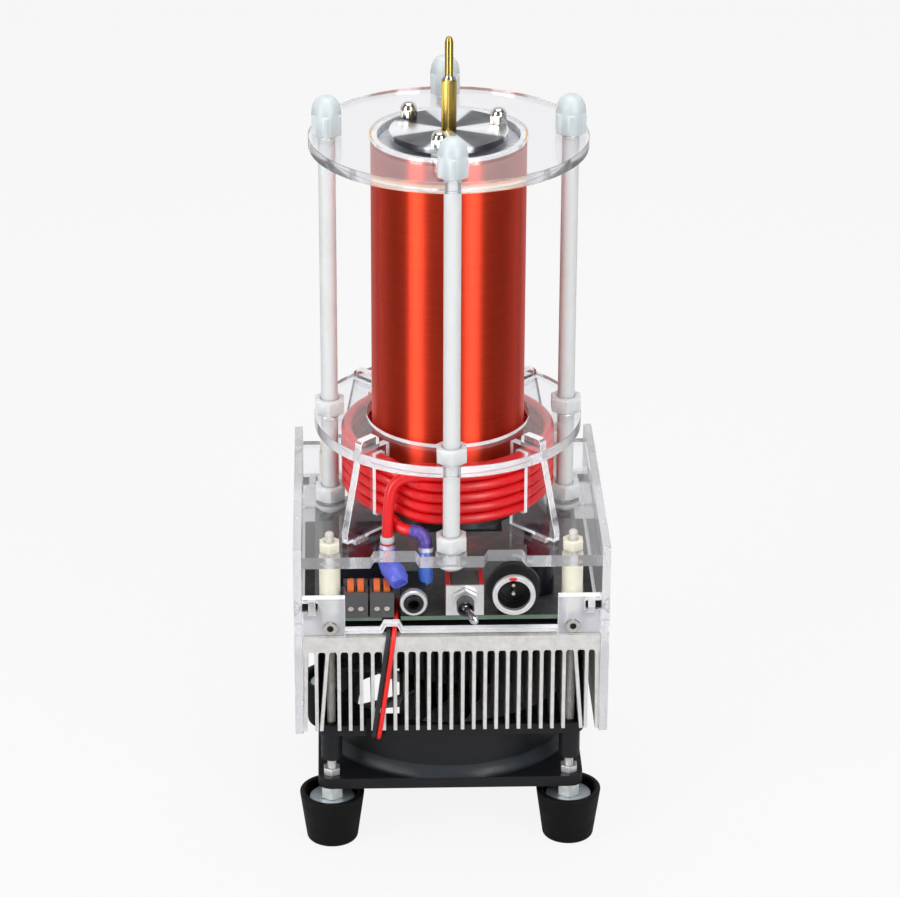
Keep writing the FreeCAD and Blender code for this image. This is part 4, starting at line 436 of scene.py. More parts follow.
def joined(node):
    """The CAD node's mesh, with the faces' shared corners joined."""
    bm = bmesh.new()
    bm.from_mesh(frame["nodes"][node].data)
    bmesh.ops.remove_doubles(bm, verts=bm.verts, dist=0.002 * MM)
    return bm


def welded(node):
    """The same, with each flat area in one piece."""
    bm = joined(node)
    bmesh.ops.dissolve_limit(bm, angle_limit=math.radians(0.6), verts=bm.verts, edges=bm.edges)
    return bm


def copied(node, material, edge=0.15 * MM, segments=2):
    """The node's own form with its edges eased."""
    bevelled(finished(welded(node), f"{node}_eased", [node], [material]), edge, segments)


def solids(node):
    """Lowest and highest corner of each separate solid in a node."""
    bm = joined(node)
    left = set(bm.verts)
    boxes = []
    while left:
        front = [left.pop()]
        found = []
        while front:
            vert = front.pop()
            found.append(vert.co.copy())
            for edge in vert.link_edges:
                other = edge.other_vert(vert)
                if other in left:
                    left.remove(other)
                    front.append(other)
        boxes.append((Vector(map(min, zip(*found))), Vector(map(max, zip(*found)))))
    bm.free()
    return sorted(boxes, key=lambda box: tuple(round(c, 5) for c in box[0]))


def swept(bm, profile, place=Matrix(), segments=48, shape=None, material=0):
    """Turns a profile of (radius, height) about the place's Z axis; shape may make it a polygon."""
    rings = []
    for radius, height in profile:
        ring = []
        for step in range(segments if radius > 0 else 1):
            angle = 2 * math.pi * step / segments
            reach = shape(angle, radius) if shape else radius
            spot = Vector((reach * math.cos(angle), reach * math.sin(angle), height))
            ring.append(bm.verts.new(place @ spot))
        rings.append(ring)
    for first, second in zip(rings, rings[1:]):
        if len(first) == len(second) == 1:
            continue
        for step in range(segments):
            after = (step + 1) % segments
            corners = (first[step % len(first)], second[step % len(second)],
                       second[after % len(second)], first[after % len(first)])
            bm.faces.new(list(dict.fromkeys(corners))).material_index = material


def closed(bm, profile, place=Matrix(), segments=48, shape=None):
    """A ring-shaped solid: the profile ends where it starts."""
    swept(bm, profile + [profile[0]], place, segments, shape)


def rounded(points, radius, steps=4):
    """A profile with its inner corners rounded."""
    out = [points[0]]
    for before, corner, after in zip(points, points[1:], points[2:]):
        a, b, c = Vector(before), Vector(corner), Vector(after)
        reach = min(radius, (a - b).length * 0.45, (c - b).length * 0.45)
        start = b + (a - b).normalized() * reach
        end = b + (c - b).normalized() * reach
        for step in range(steps + 1):
            t = step / steps
            out.append(tuple(start * (1 - t) ** 2 + b * 2 * t * (1 - t) + end * t ** 2))
    out.append(points[-1])
    return out


def hexagon(across):
    """Pulls a circle in to a hexagon's flats."""
    half = across / 2

    def shape(angle, radius):
        from_flat = (angle + math.pi / 6) % (math.pi / 3) - math.pi / 6
        return min(radius, half / math.cos(from_flat))

    return shape


def corner_ease(across):
    """Radius over the corners of a hexagon, and how far down its chamfer comes."""
    corner = across / math.sqrt(3)
    return corner, (corner - across / 2) * 0.58


def nut(bm, place, across, height, bore):
    """A hex nut with both ends chamfered, its bore open."""
    corner, ease = corner_ease(across)
    rim = across * 0.48
    profile = [(bore, 0), (rim, 0), (corner, ease), (corner, height - ease), (rim, height),
               (bore + height * 0.08, height), (bore, height * 0.92)]
    closed(bm, profile, place, 72, hexagon(across))


def box_between(low, high):
    bm = bmesh.new()
    bmesh.ops.create_cube(bm, size=1.0)
    for vert in bm.verts:
        vert.co = Vector([high[i] if vert.co[i] > 0 else low[i] for i in range(3)])
    return bm


def wire(name, points, across, material, node):
    """A wire along one smooth spline through a given route."""
    curve = bpy.data.curves.new(name, "CURVE")
    curve.dimensions = "3D"
    curve.bevel_depth = across / 2
    curve.bevel_resolution = 6
    curve.resolution_u = 10
    curve.use_fill_caps = True
    spline = curve.splines.new("NURBS")
    spline.points.add(len(points) - 1)
    for point, place in zip(spline.points, points):
        point.co = (*place, 1.0)
    spline.order_u = 3
    spline.use_endpoint_u = True
    curve.materials.append(MATERIALS[material])
    seated(name, curve, [node])


def scaled(points):
    """A route in metres from one in millimetres."""
    return [Vector(point) * MM for point in points]


def middle(box):
    return (box[0] + box[1]) / 2


def at(x, y, z):
    return Matrix.Translation((x, y, z))


def forward(x, y, z):
    """A place whose own Z axis points out of the front."""
    return at(x, y, z) @ Matrix.Rotation(QUARTER, 4, "X")


def upright(box):
    """A place on the middle of a box's underside."""
    return at(*middle(box).xy, box[0].z)


# Feet, bolts and standoffs

def feet():
    """Tapered rubber feet, hollow below, with a cup on top."""
    wall = 2.3 * MM
    cup = 3.4 * MM
    hollow = 4.0 * MM
    for corner in ("front_left", "front_right", "rear_left", "rear_right"):
        node = f"foot_{corner}"
        low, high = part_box(node)
        top = (high.x - low.x) / 2
        tall = high.z - low.z
        roof = tall * 0.36
        profile = [(M3_HOLE, roof), (hollow, roof), (hollow, 0), (top * 0.78, 0),
                   (top * 0.985, tall * 0.93), (top, tall), (top - wall, tall),
                   (top - wall, tall - cup), (M3_HOLE, tall - cup)]
        bm = bmesh.new()
        swept(bm, rounded(profile, 0.9 * MM) + [profile[0]], upright((low, high)), 64)
        finished(bm, f"{node}_rubber", [node], ["rubber"], 50)


feet()
copied("foot_washers", "zinc", 0.12 * MM)
copied("corner_spacers", "nylon_aged", 0.2 * MM, 3)
copied("board_standoffs", "nickel", 0.1 * MM)


def hex_group(node, material, bore):
    """Chamfered hex pieces in place of a group of plain ones."""
    boxes = solids(node)
    across = boxes[0][1].x - boxes[0][0].x
    bm = bmesh.new()
    for low, high in boxes:
        nut(bm, upright((low, high)), across, high.z - low.z, bore)
    finished(bm, f"{node}_chamfered", [node], [material])


hex_group("foot_standoffs", "bright_zinc", M3_HOLE)
hex_group("corner_standoffs", "chrome", M3_HOLE)
hex_group("corner_nuts", "nylon_aged", M3_HOLE)
hex_group("post_nuts", "nylon", 3.05 * MM)


def corner_bolts():
    """Long threaded bolts with a pan head and a bevelled end."""
    drive = 0.8 * MM
    under_head = 2.6 * MM
    point = 0.5 * MM
    bm = bmesh.new()
    for low, high in solids("corner_bolts"):
        head = (high.x - low.x) / 2
        tall = high.z - low.z
        profile = [(0, drive), (head * 0.45, drive), (head * 0.45, 0), (head, 0),
                   (head, under_head), (M3, under_head), (M3, tall - point), (M3 * 0.7, tall),
                   (0, tall)]
        swept(bm, profile, upright((low, high)), 32)
    finished(bm, "corner_bolts_threaded", ["corner_bolts"], ["bolt_thread"])


corner_bolts()


# Fan and heatsink

def rotor():
    """A black hub with pale blades."""
    bm = welded("fan_rotor")
    hub = 17.2 * MM
    for face in bm.faces:
        face.material_index = int(face.calc_center_median().xy.length > hub)
    item = finished(bm, "fan_rotor_eased", ["fan_rotor"], ["fan_plastic", "blade"])
    bevelled(item, 0.25 * MM)


def duct_fillet():
    """The soft hollow where the duct meets the fan's lower flange."""
    low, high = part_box("fan_frame")
    outer = 45.6 * MM
    foot = low.z + 4.0 * MM
    reach = 2.2 * MM
    rise = 4.6 * MM
    sunk = 0.4 * MM
    steps = 8
    hollow = [(outer - sunk, foot - sunk / 2), (outer + reach, foot - sunk / 2)]
    for step in range(steps + 1):
        turn = QUARTER * step / steps
        hollow.append((outer + reach * (1 - math.sin(turn)), foot + rise * (1 - math.cos(turn))))
    hollow.append((outer - sunk, foot + rise))
    bm = bmesh.new()
    closed(bm, hollow, segments=160)
    for vert in bm.verts:
        vert.co.x = max(min(vert.co.x, high.x), low.x)
        vert.co.y = max(min(vert.co.y, high.y), low.y)
    # Its plastic is painted lighter and bluer than the frame's, a painted sheen along the duct's
    # foot, and is a little more specular.
    finished(bm, "duct_fillet", ["fan_frame"], ["fan_gloss_and_painted_sheen"], 40)


copied("fan_frame", "fan_plastic", 0.3 * MM)
duct_fillet()
rotor()
copied("heatsink", "aluminium", 0.18 * MM)


# Clear sheets

ALONG_X, ALONG_Y, ALONG_Z = (Vector(row) for row in ((1, 0, 0), (0, 1, 0), (0, 0, 1)))


def clear_sheet(node, square_on, face="acrylic", edge="glossy_edge", outward=None, bore=0.0):
    """The sheet's own form, polished along square_on and outward, with its bore's wall frosted."""
    bm = welded(node)
    bmesh.ops.recalc_face_normals(bm, faces=bm.faces)
    for side in bm.faces:
        flat = abs(side.normal.dot(square_on)) > 0.9
        if flat or (outward and side.normal.dot(outward) > 0.5):
            side.material_index = 0
        elif side.calc_center_median().xy.length >= bore:
            side.material_index = 1
        else:
            side.material_index = 2
    item = finished(bm, f"{node}_clear", [node], [face, edge, "white_edge"])
    bevelled(item, 0.16 * MM, material=1)


for hand in ("left", "right"):
    clear_sheet(f"side_plate_{hand}", ALONG_X, "faint_veil", "frosted_edge")
for end in ("front", "rear"):
    clear_sheet(f"{end}_panel", ALONG_Y, "veiled", "white_edge")
clear_sheet("deck_plate", ALONG_Z, "acrylic", "frosted_edge")
clear_sheet("lower_ring_plate", ALONG_Z, bore=32 * MM)
clear_sheet("upper_ring_plate", ALONG_Z)
for corner in ("front_left", "front_right", "rear_right", "rear_left"):
    node = f"primary_support_{corner}"
    outward = sum(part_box(node), Vector()).xy.normalized()
    clear_sheet(node, Vector((outward.y, -outward.x, 0)), "acrylic", "white_edge", outward.to_3d())


# Posts and their cap nuts

for side in ("right", "rear", "left", "front"):
    copied(f"post_{side}", "nylon", 0.35 * MM, 3)


def domed(bm, place, across, tall, bore):
    """A cap nut: chamfered hex, a round shoulder and a dome, with a blind bore."""
    corner, ease = corner_ease(across)
    flat = across / 2
    shoulder = flat * 0.985
    straight = tall * 0.56
    depth = tall * 0.52
    steps = 12
    dome = [(shoulder, straight)]
    for step in range(1, steps + 1):
        angle = QUARTER * step / steps
        reach = shoulder * math.cos(angle) ** 0.8 if step < steps else 0
        dome.append((reach, straight + (tall - straight) * math.sin(angle)))
    profile = [(0, depth), (bore, depth), (bore, 0), (flat * 0.95, 0), (corner, ease),
               (corner, straight - ease)]
    swept(bm, profile + dome, place, 72, hexagon(across))


def cap_nuts(node, name, material, bore):
    bm = bmesh.new()
    for low, high in solids(node):
        domed(bm, upright((low, high)), high.x - low.x, high.z - low.z, bore)
    finished(bm, name, [node], [material], 40)


cap_nuts("cap_nuts", "nylon_cap_nuts", "nylon_cap", 2.4 * MM)
cap_nuts("electrode_cap_nuts", "small_cap_nuts", "nickel", M3)


# Primary

PRIMARY_WIRE = 3.9 * MM


def smooth(share):
    """Eases from 0 to 1."""
    share = min(max(share, 0.0), 1.0)
    return share * share * (3 - 2 * share)


def primary_route():
    """Five turns, clockwise going up: each is level, and climbs to the next behind the leads."""
    radius = 35.0 * MM
    pitch = 4.0 * MM
    lowest = 119.55 * MM
    first = -131.0
    climb = 25.3
    sweep = 1774.7
    steps = 240
    lower = [(-13.7, -36.9, 116.3), (-16.7, -36.07, 116.3), (-20.4, -31.0, 118.35)]
    upper = [(-17.6, -34.9, 135.15), (-21.6, -36.2, 129.55), (-21.6, -36.2, 107.1)]
    route = scaled(lower)
    for step in range(steps + 1):
        turned = sweep * step / steps
        level, into = divmod(turned, 360)
        height = lowest + pitch * (level + smooth((into - 360 + climb) / climb))
        angle = math.radians(first - turned)
        route.append(Vector((radius * math.cos(angle), radius * math.sin(angle), height)))
    return route + scaled(upper)


def lead_ferrule(x, y):
    """The white tie round the lead from the top turn."""
    inner = PRIMARY_WIRE / 2
    outer = inner + 0.45 * MM
    tie = [(inner, 0), (outer, 0.3 * MM), (outer, 2.2 * MM), (inner, 2.5 * MM)]
    bm = bmesh.new()
    closed(bm, rounded(tie, 0.2 * MM), at(x, y, 111.6 * MM), 36)
    finished(bm, "lead_ferrule", ["primary_coil"], ["nylon"])


def primary():
    route = primary_route()
    wire("primary_winding", route, PRIMARY_WIRE, "red_wire", "primary_coil")
    lead_ferrule(*route[-1].xy)


primary()


def eased_line(points):
    """A route's corners, with points filled in between them and smoothed."""
    centres = scaled(points)
    line = []
    for first, second in zip(centres, centres[1:]):
        line += [first.lerp(second, step / 12) for step in range(12)]
    line.append(centres[-1])
    for _ in range(30):
        eased = [(a + b * 2 + c) / 4 for a, b, c in zip(line, line[1:], line[2:])]
        line = [line[0], *eased, line[-1]]
    return line


def sleeve(name, points, across, material, swell=0.0):
    """A shrunk sleeve: its wall swells and wrinkles along the way, and its end stays open."""
    line = eased_line(points)
    last = len(line) - 1
    sides = 28
    aside = Vector((1, 0, 0))
    rings = []
    for index, point in enumerate(line):
        ahead = (line[min(index + 1, last)] - line[max(index - 1, 0)]).normalized()
        aside = (aside - ahead * aside.dot(ahead)).normalized()
        up = ahead.cross(aside)
        share = index / last
        waves = swell * math.sin(math.pi * share ** 1.6) + 0.035 * math.sin(share * 31)
        reach = across / 2 * (1 + waves)
        ring = []
        for step in range(sides):
            angle = 2 * math.pi * step / sides
            crease = 1 + 0.02 * math.sin(3 * angle + share * 9)
            ring.append(point + (aside * math.cos(angle) + up * math.sin(angle)) * reach * crease)
        rings.append(ring)
    for index, inward in ((last, 0.72), (last - 2, 0.66)):
        rings.append([line[index] + (spot - line[index]) * inward for spot in rings[index]])
    bm = bmesh.new()
    loops = [[bm.verts.new(spot) for spot in ring] for ring in rings]
    for one, two in zip(loops, loops[1:]):
        for step in range(sides):
            after = (step + 1) % sides
            bm.faces.new((one[step], one[after], two[after], two[step]))
    bm.faces.new(list(reversed(loops[0])))
    bm.faces.new(loops[-1])
    finished(bm, name, ["primary_sleeves"], [material], 50)


sleeve("blue_sleeve_piece", [(-21.6, -36.2, 107.1), (-21.6, -36.2, 103.1), (-18.9, -42.8, 103.1),
                             (-17.6, -46.1, 100.9)], 6.0 * MM, "blue_sleeve", 0.22)
sleeve("violet_sleeve_piece", [(-13.7, -36.9, 116.3), (-10.2, -37.9, 116.1), (-8.6, -38.3, 113.0),
                               (-8.6, -38.3, 107.0)], 4.4 * MM, "violet_sleeve")
sleeve("second_blue_sleeve", [(-8.6, -38.3, 107.0), (-8.6, -38.4, 97.6)], 4.6 * MM,
       "deep_blue_sleeve", 0.1)


# Secondary and the electrode

def secondary_turns():
    low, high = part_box("secondary_winding")
    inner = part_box("secondary_former")[1].x
    profile = [(inner, low.z), (high.x, low.z), (high.x, high.z), (inner, high.z)]
    bm = bmesh.new()
    closed(bm, rounded(profile, 0.15 * MM), segments=160)
    finished(bm, "secondary_turns", ["secondary_winding"], ["winding"], 40)


def painted_top_highlight():
    """An orange band round the winding's upper end: a painted highlight along the top turn."""
    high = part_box("secondary_winding")[1]
    inner, outer = high.x - 0.3 * MM, high.x + 0.06 * MM
    bottom, top = high.z - 0.5 * MM, high.z + 0.5 * MM
    bm = bmesh.new()
    closed(bm, [(inner, bottom), (outer, bottom), (outer, top), (inner, top)], segments=160)
    finished(bm, "painted_top_highlight", ["secondary_winding"], ["painted_top_highlight"])


def base_seal():
    """The black seat round the former's foot."""
    low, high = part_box("secondary_winding")
    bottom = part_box("secondary_former")[0].z
    inner = high.x - 0.3 * MM
    top = low.z + 1.0 * MM
    seat = [(inner, bottom + 0.05 * MM), (high.x + 0.9 * MM, bottom + 0.05 * MM),
            (high.x + 0.25 * MM, bottom + 1.2 * MM), (high.x + 0.05 * MM, top), (inner, top)]
    bm = bmesh.new()
    closed(bm, seat, segments=120)
    finished(bm, "base_seal", ["secondary_former"], ["fan_plastic"], 50)


secondary_turns()
painted_top_highlight()
copied("secondary_former", "former", 0.25 * MM)
base_seal()
copied("top_cap", "plug", 0.2 * MM)
copied("electrode_disc", "turned", 0.1 * MM)
copied("electrode_screws", "black_oxide", 0.12 * MM)
copied("discharge_needle", "brass", 0.1 * MM)


def brass_hex():
    """The hex piece that carries the point: a stud below, a blind bore above."""
    low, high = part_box("needle_standoff")
    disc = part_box("electrode_disc")[1].z
    across = high.x - low.x
    corner = across / math.sqrt(3)
    ease = 0.7 * MM
    bore = 1.43 * MM
    depth = 6 * MM
    profile = [(0, low.z), (M3, low.z), (M3, disc), (across * 0.47, disc),
               (corner, disc + ease * 0.6), (corner, high.z - ease), (across * 0.42, high.z),
               (bore, high.z), (bore, high.z - depth), (0, high.z - depth)]
    bm = bmesh.new()
    swept(bm, profile, segments=72, shape=hexagon(across))
    finished(bm, "brass_hex", ["needle_standoff"], ["brass"])


def needle_collar():
    low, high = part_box("needle_standoff")
    across = high.x - low.x
    bore = 1.45 * MM
    collar = [(bore, -0.1 * MM), (across * 0.43, -0.1 * MM), (across * 0.43, 0.2 * MM),
              (across * 0.33, 1.2 * MM), (bore, 1.2 * MM)]
    bm = bmesh.new()
    closed(bm, collar, at(0, 0, high.z))
    finished(bm, "needle_collar", ["needle_standoff"], ["nickel"])


brass_hex()
needle_collar()


# Board and what stands on it

def board():
    """The board's own form, with the bare laminate showing along its cut edge."""
    bm = welded("circuit_board")
    bmesh.ops.recalc_face_normals(bm, faces=bm.faces)
    for face in bm.faces:
        face.material_index = int(abs(face.normal.z) < 0.5)
    item = finished(bm, "circuit_board_eased", ["circuit_board"], ["board", "board_edge"])
    bevelled(item, 0.08 * MM)


board()
copied("capacitors", "can_sleeve", 0.4 * MM, 3)
copied("power_transistors", "black_plastic", 0.25 * MM)
for hand in ("left", "right"):
    copied(f"terminal_block_{hand}", "grey_plastic", 0.25 * MM)
    for row in ("outer", "inner"):
        copied(f"terminal_lever_{hand}_{row}", "orange_plastic", 0.3 * MM)


def painted_shade_sheet():
    """A thin black sheet on the heatsink, with its corners cut back round the standoffs: painted
    shade for the shadow under the board.
    """
    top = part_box("heatsink")[1].z
    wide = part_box("side_plate_right")[0].x - 0.6 * MM
    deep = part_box("front_panel")[1].y + 0.4 * MM
    notch = 10.5 * MM
    outline = [(wide, deep + notch), (wide - notch, deep + notch), (wide - notch, deep)]
    outline += [(-x, y) for x, y in reversed(outline)]
    outline += [(x, -y) for x, y in reversed(outline)]
    bm = bmesh.new()
    lower = [bm.verts.new((x, y, top + 0.02 * MM)) for x, y in outline]
    upper = [bm.verts.new((x, y, top + 0.25 * MM)) for x, y in outline]
    bm.faces.new(lower)
    bm.faces.new(list(reversed(upper)))
    for index, vert in enumerate(lower):
        after = (index + 1) % len(lower)
        bm.faces.new((vert, lower[after], upper[after], upper[index]))
    bevelled(finished(bm, "painted_shade_sheet", ["circuit_board"], ["film"]), 0.06 * MM)


def eyelets():
    """A bright eyelet in the round hole of each panel upright, dark inside."""
    front_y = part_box("front_panel")[0].y
    reach = abs(middle(solids("corner_standoffs")[0]).x)
    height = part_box("heatsink")[1].z + 3.4 * MM
    bore = 1.15 * MM
    hole = 1.5 * MM
    rim = 2.55 * MM
    depth = -2.6 * MM
    ring = [(bore, 0.9 * MM), (2.3 * MM, 0.9 * MM), (rim, 0.6 * MM), (rim, 0.0), (hole, 0.0),
            (hole, depth), (bore, depth)]
    pit = [(0, -0.4 * MM), (1.2 * MM, -0.2 * MM), (1.2 * MM, -2.4 * MM), (0, -2.4 * MM)]
    for name, end in (("front_eyelets", 1), ("rear_eyelets", -1)):
        bm = bmesh.new()
        for side in (-1, 1):
            turn = Matrix.Rotation(end * QUARTER, 4, "X")
            place = at(side * reach, end * front_y, height) @ turn
            closed(bm, ring, place, 36)
            swept(bm, pit, place, 36, material=1)
        finished(bm, name, ["panel_screws"], ["nickel", "black_plastic"])


painted_shade_sheet()
eyelets()


# Black screws. Their sockets are swept from the axis out, and pulled in to a hexagon.

SOCKET = 1.0 * MM
SOCKET_DEPTH = -1.1 * MM


def socketed(angle, radius):
    """Pulls the innermost part of a screw head in to a hex socket."""
    return hexagon(1.8 * MM)(angle, radius) if radius < 1.05 * MM else radius


def shank_end(length):
    """The bevelled end of an M3 shank, out to the axis."""
    return [(M3, 0.4 * MM - length), (1.1 * MM, -length), (0, -length)]


def button_screws():
    """Black button-head screws with a hex socket."""
    tall = 1.7 * MM
    bm = bmesh.new()
    for low, high in solids("button_screws"):
        head = (high.x - low.x) / 2
        profile = [(0, -tall * 0.55), (SOCKET, -tall * 0.55), (SOCKET, 0), (head * 0.45, 0),
                   (head * 0.78, -tall * 0.22), (head * 0.96, -tall * 0.62), (head, -tall),
                   (M3, -tall)]
        place = at(*middle((low, high)).xy, high.z)
        swept(bm, profile + shank_end(high.z - low.z), place, 36, socketed)
    finished(bm, "button_head_screws", ["button_screws"], ["black_oxide"], 30)


def panel_screws():
    """Black countersunk screws, flush with the side plates."""
    land = 0.3 * MM
    bm = bmesh.new()
    for low, high in solids("panel_screws"):
        centre = middle((low, high))
        side, face = (1, high.x) if centre.x > 0 else (-1, low.x)
        head = (high.z - low.z) / 2
        place = at(face, centre.y, centre.z) @ Matrix.Rotation(side * QUARTER, 4, "Y")
        profile = [(0, SOCKET_DEPTH), (SOCKET, SOCKET_DEPTH), (SOCKET, 0), (head - 0.15 * MM, 0),
                   (head, -0.1 * MM), (head, -land), (M3, M3 - head - land)]
        swept(bm, profile + shank_end(high.x - low.x), place, 36, socketed)
    finished(bm, "flush_screws", ["panel_screws"], ["black_oxide"], 30)


button_screws()
panel_screws()
copied("m3_nuts", "satin", 0.15 * MM)


# Terminals, jack, switch and socket

def terminal_clamps():
    """The bright clamp that shows in each wire entry."""
    outer = 1.05 * MM
    back = -0.5 * MM
    clamp = [(0, 0), (0.5 * MM, 0.1 * MM), (outer, 0), (outer, back), (0, back)]
    for hand in ("left", "right"):
        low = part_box(f"terminal_block_{hand}")[0]
        bm = bmesh.new()
        for row in ("outer", "inner"):
            x = middle(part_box(f"terminal_lever_{hand}_{row}")).x
            swept(bm, clamp, forward(x, low.y + 0.5 * MM, low.z + 3.0 * MM), 20)
        finished(bm, f"terminal_clamps_{hand}", [f"terminal_block_{hand}"], ["nickel"])


terminal_clamps()


def audio_jack():
    """A black body with a black nose and a bright, thin nut on it."""
    low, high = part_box("audio_jack")
    nose_length = 4.4 * MM
    face = low.y + nose_length
    lift = 0.1 * MM
    bm = box_between((low.x, face, low.z + lift), (high.x, high.y, high.z - lift))
    bevelled(finished(bm, "jack_body", ["audio_jack"], ["black_plastic"]), 0.5 * MM, 3)

    outward = forward(middle((low, high)).x, face, low.z + 6.3 * MM)
    bore = 1.8 * MM
    outer = 3.1 * MM
    nose = [(bore, 4.0 * MM), (bore, 0), (outer, 0), (outer, 4.1 * MM), (2.8 * MM, nose_length),
            (2.1 * MM, nose_length)]
    bm = bmesh.new()
    closed(bm, nose, outward)
    finished(bm, "jack_nose", ["audio_jack"], ["black_plastic"])

    inner = 3.15 * MM
    rim = 4.7 * MM
    ring = [(inner, 0.2 * MM), (4.4 * MM, 0.2 * MM), (rim, 0.5 * MM), (rim, 2.6 * MM),
            (4.4 * MM, 3.0 * MM), (3.5 * MM, 3.0 * MM), (inner, 2.7 * MM)]
    bm = bmesh.new()
    closed(bm, ring, outward)
    finished(bm, "jack_nut", ["audio_jack"], ["satin"])


audio_jack()


def toggle_body():
    """A dark core between two red sides."""
    low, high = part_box("toggle_body")
    side = 1.6 * MM
    drop = 0.6 * MM
    pieces = (("toggle_side_left", low.x, low.x + side, high.z, "red_plastic"),
              ("toggle_core", low.x + side, high.x - side, high.z - drop, "core"),
              ("toggle_side_right", high.x - side, high.x, high.z, "red_plastic"))
    for name, left, right, top, material in pieces:
        bm = box_between((left, low.y, low.z), (right, high.y, top))
        bevelled(finished(bm, name, ["toggle_body"], [material]), 0.3 * MM, 3)


def toggle_frame():
    """The bright frame and its nut, with the bushing's dark thread in front of them."""
    bm = welded("toggle_frame")
    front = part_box("toggle_frame")[0].y
    nose = [vert.co for vert in bm.verts if vert.co.y < front + 0.05 * MM]
    axis = sum(nose, Vector()) / len(nose)
    bushing = 3.05 * MM
    for face in bm.faces:
        away = max((vert.co - axis).xz.length for vert in face.verts)
        face.material_index = int(away < bushing)
    item = finished(bm, "toggle_frame_eased", ["toggle_frame"], ["satin", "bushing_thread"])
    bevelled(item, 0.12 * MM)


toggle_body()
toggle_frame()
copied("toggle_lever", "chrome", 0.2 * MM, 3)


def socket_shell():
    """A threaded barrel, black but for its bright mouth."""
    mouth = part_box("power_socket_shell")[0].y + 1.7 * MM
    bm = welded("power_socket_shell")
    bmesh.ops.bisect_plane(bm, geom=bm.verts[:] + bm.edges[:] + bm.faces[:],
                           plane_co=(0, mouth, 0), plane_no=ALONG_Y)
    for part in bm.faces:
        part.material_index = int(part.calc_center_median().y >= mouth)
    item = finished(bm, "socket_shell", ["power_socket_shell"], ["satin", "black_plastic"])
    bevelled(item, 0.25 * MM, 3)


def socket_insert():
    """A dark insert, dished in front, with two bright contacts."""
    low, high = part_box("power_socket_insert")
    centre = middle((low, high))
    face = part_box("power_socket_shell")[0].y + 5.8 * MM
    outward = forward(centre.x, face, centre.z)
    back = face - high.y
    reach = (high.x - low.x) / 2
    dish = -0.7 * MM
    profile = [(0, back), (reach, back), (reach, 0), (reach * 0.86, 0), (reach * 0.82, dish),
               (reach * 0.2, dish), (0, dish)]
    bm = bmesh.new()
    swept(bm, profile, outward, 64)
    finished(bm, "socket_insert", ["power_socket_insert"], ["black_plastic"])

    apart = 3.2 * MM
    root = -0.9 * MM
    across = 0.95 * MM
    pin = [(0, 1.2 * MM), (0.6 * MM, 1.15 * MM), (across, 0.8 * MM), (across, root), (0, root)]
    bm = bmesh.new()
    for side in (-1, 1):
        swept(bm, pin, outward @ at(0, side * apart / 2, 0), 24)
    finished(bm, "socket_contacts", ["power_socket_insert"], ["nickel"])


def socket_mark():
    """The red mark on the upper rim of the mouth, wider than high."""
    centre = middle(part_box("power_socket_insert"))
    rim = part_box("power_socket_shell")[0].y
    mark = [(0, 0.35 * MM), (0.75 * MM, 0.3 * MM), (0.95 * MM, 0.0), (0, 0.0)]
    place = forward(centre.x - 0.4 * MM, rim + 0.1 * MM, centre.z + 6.3 * MM)
    bm = bmesh.new()
    swept(bm, mark, place @ Matrix.Diagonal((1.6, 0.8, 1.0, 1.0)), 24)
    finished(bm, "socket_mark", ["power_socket_shell"], ["red_plastic"])


socket_shell()
socket_insert()
socket_mark()


def fan_leads():
    """Out of the board's edge, through the panel's arch and down in front of the fins."""
    across = 1.7 * MM
    red = [(-18.3, -33.5, 88.45), (-18.3, -41.6, 88.45), (-19.5, -45.0, 83.95),
           (-19.5, -50.55, 83.75), (-25.0, -50.55, 43.0), (-25.0, -43.4, 41.2),
           (-25.0, -39.5, 39.0)]
    black = [(-21.3, -33.5, 83.15), (-21.3, -45.0, 83.75), (-21.3, -50.55, 83.75),
             (-26.8, -50.55, 43.0), (-26.8, -43.4, 41.2), (-26.8, -39.3, 39.0)]
    wire("fan_wire_red", scaled(red), across, "fan_red", "fan_lead")
    wire("fan_wire_black", scaled(black), across, "fan_black", "fan_lead")


fan_leads()


# Floor, light and camera

def pale_floor():
    """Near white to the camera, also through clear sheet, with its shadow kept."""
    level = 0.5
    glow_share = 0.88
    finish = Finish("pale_floor", (level, level, level), 0.9)
    finish.mottled(3, 0.01)
    glow = finish.node("ShaderNodeEmission")
    path = finish.node("ShaderNodeLightPath")
    seen = finish.combine("MAXIMUM", path.outputs["Is Camera Ray"],
                          path.outputs["Is Transmission Ray"])
    return finish.mixed(finish.remap(seen, 0.0, glow_share), glow.outputs["Emission"])


def floor():
    bm = bmesh.new()
    bmesh.ops.create_grid(bm, x_segments=1, y_segments=1, size=3.0)
    mesh = bpy.data.meshes.new("floor")
    bm.to_mesh(mesh)
    bm.free()
    mesh.materials.append(pale_floor())
    item = bpy.data.objects.new("floor", mesh)
    item.location.z = -0.2 * MM
    bpy.context.scene.collection.objects.link(item)


def lamp(name, place, width, height, watts):
    """A soft box that faces the middle of the object."""
    target = Vector((0, 0, 0.14))
    light = bpy.data.lights.new(name, "AREA")
    light.shape = "RECTANGLE"
    light.size = width
    light.size_y = height
    light.energy = watts
    item = bpy.data.objects.new(name, light)
    item.location = place
    item.rotation_euler = (target - Vector(place)).to_track_quat("-Z", "Y").to_euler()
    bpy.context.scene.collection.objects.link(item)


def lights():
    """Two tall soft boxes in front and one above."""
    lamp("left_box", (-0.68, -0.59, 0.40), 0.30, 1.0, 6.0)
    lamp("right_box", (0.49, -0.755, 0.40), 0.30, 1.0, 6.0)
    lamp("top_box", (0, 0.05, 1.0), 0.7, 0.7, 5.0)


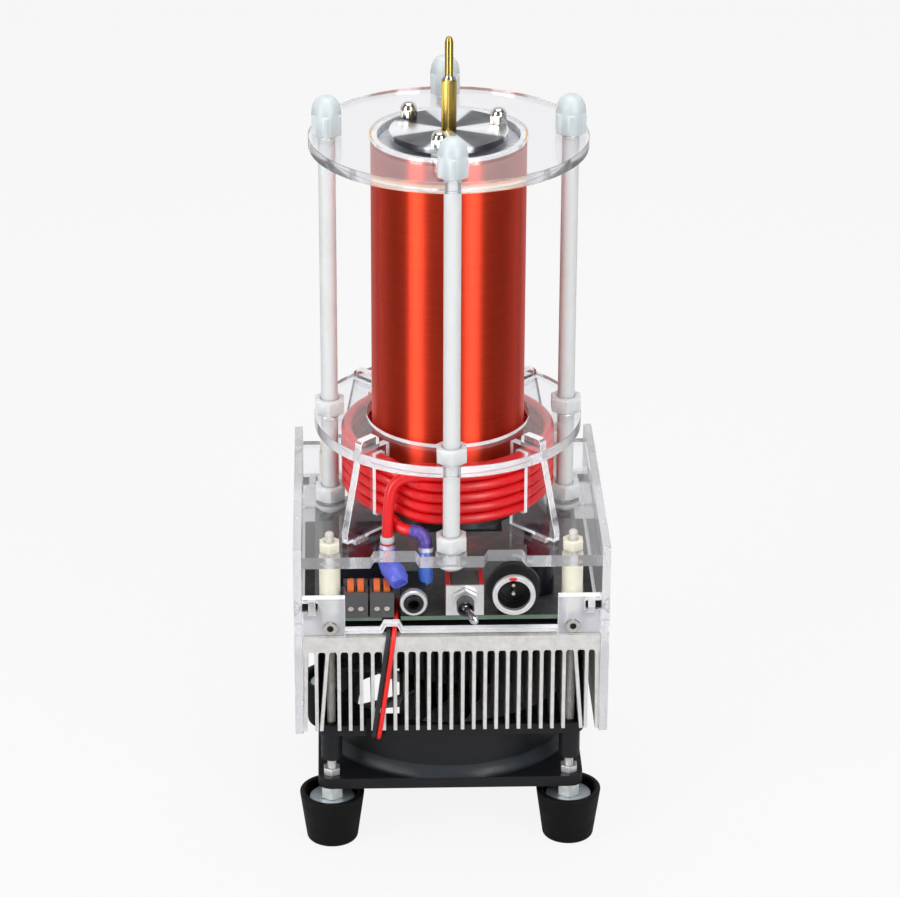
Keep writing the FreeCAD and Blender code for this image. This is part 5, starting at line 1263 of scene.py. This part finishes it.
def room():
    """White to the camera, even to matt surfaces, and to glossy ones bright only low behind."""
    even = 0.42
    darkest = 0.12
    world = bpy.data.worlds.new("studio")
    bpy.context.scene.world = world
    world.use_nodes = True
    graph = Graph(world.node_tree)
    direction = graph.node("ShaderNodeSeparateXYZ")
    graph.link(graph.node("ShaderNodeTexCoord").outputs["Generated"], direction.inputs[0])
    behind = graph.remap(direction.outputs["Y"], 0.0, 1.0, 0.0, 0.5)
    low = graph.remap(direction.outputs["Z"], 1.0, 0.0, 0.45, 0.8)
    bright = graph.remap(graph.combine("MULTIPLY", behind, low), darkest, 1.0)
    path = graph.node("ShaderNodeLightPath")
    mirrored = graph.combine("MAXIMUM", path.outputs["Is Glossy Ray"],
                             path.outputs["Is Transmission Ray"])
    level = graph.combine("ADD", graph.combine("MULTIPLY", bright, mirrored),
                          graph.remap(mirrored, even, 0.0))
    background = world.node_tree.nodes["Background"]
    background.inputs["Color"].default_value = (1, 1, 1, 1)
    graph.link(graph.combine("MAXIMUM", level, path.outputs["Is Camera Ray"]),
               background.inputs["Strength"])


# The camera: a long lens well above the deck, a little to the left of straight on
AZIMUTH = -1.88
ELEVATION = 24.15
ROLL = 0.2
DISTANCE = 1.23917
FOCUS = 3594.82
IMAGE_WIDTH = 900
IMAGE_HEIGHT = 897
CENTRE = (447.87, 394.97)


def camera():
    side, rise, roll = (math.radians(angle) for angle in (AZIMUTH, ELEVATION, ROLL))
    ahead = Vector((-math.sin(side), math.cos(side), -math.tan(rise))).normalized()
    level = ahead.cross(ALONG_Z).normalized()
    upward = level.cross(ahead)
    right = level * math.cos(roll) + upward * math.sin(roll)
    top = upward * math.cos(roll) - level * math.sin(roll)
    lens = bpy.data.cameras.new("camera")
    lens.sensor_width = 36
    lens.lens = FOCUS / IMAGE_WIDTH * lens.sensor_width
    lens.shift_x = (IMAGE_WIDTH / 2 - CENTRE[0]) / IMAGE_WIDTH
    lens.shift_y = (CENTRE[1] - IMAGE_HEIGHT / 2) / IMAGE_WIDTH
    lens.clip_start = 0.05
    item = bpy.data.objects.new("camera", lens)
    turn = Matrix((right, top, -ahead)).transposed().to_4x4()
    item.matrix_world = Matrix.Translation(Vector((0, 0, 0.15)) - ahead * DISTANCE) @ turn
    bpy.context.scene.collection.objects.link(item)
    bpy.context.scene.camera = item


floor()
lights()
room()
camera()
bpy.context.scene.view_settings.view_transform = "Standard"
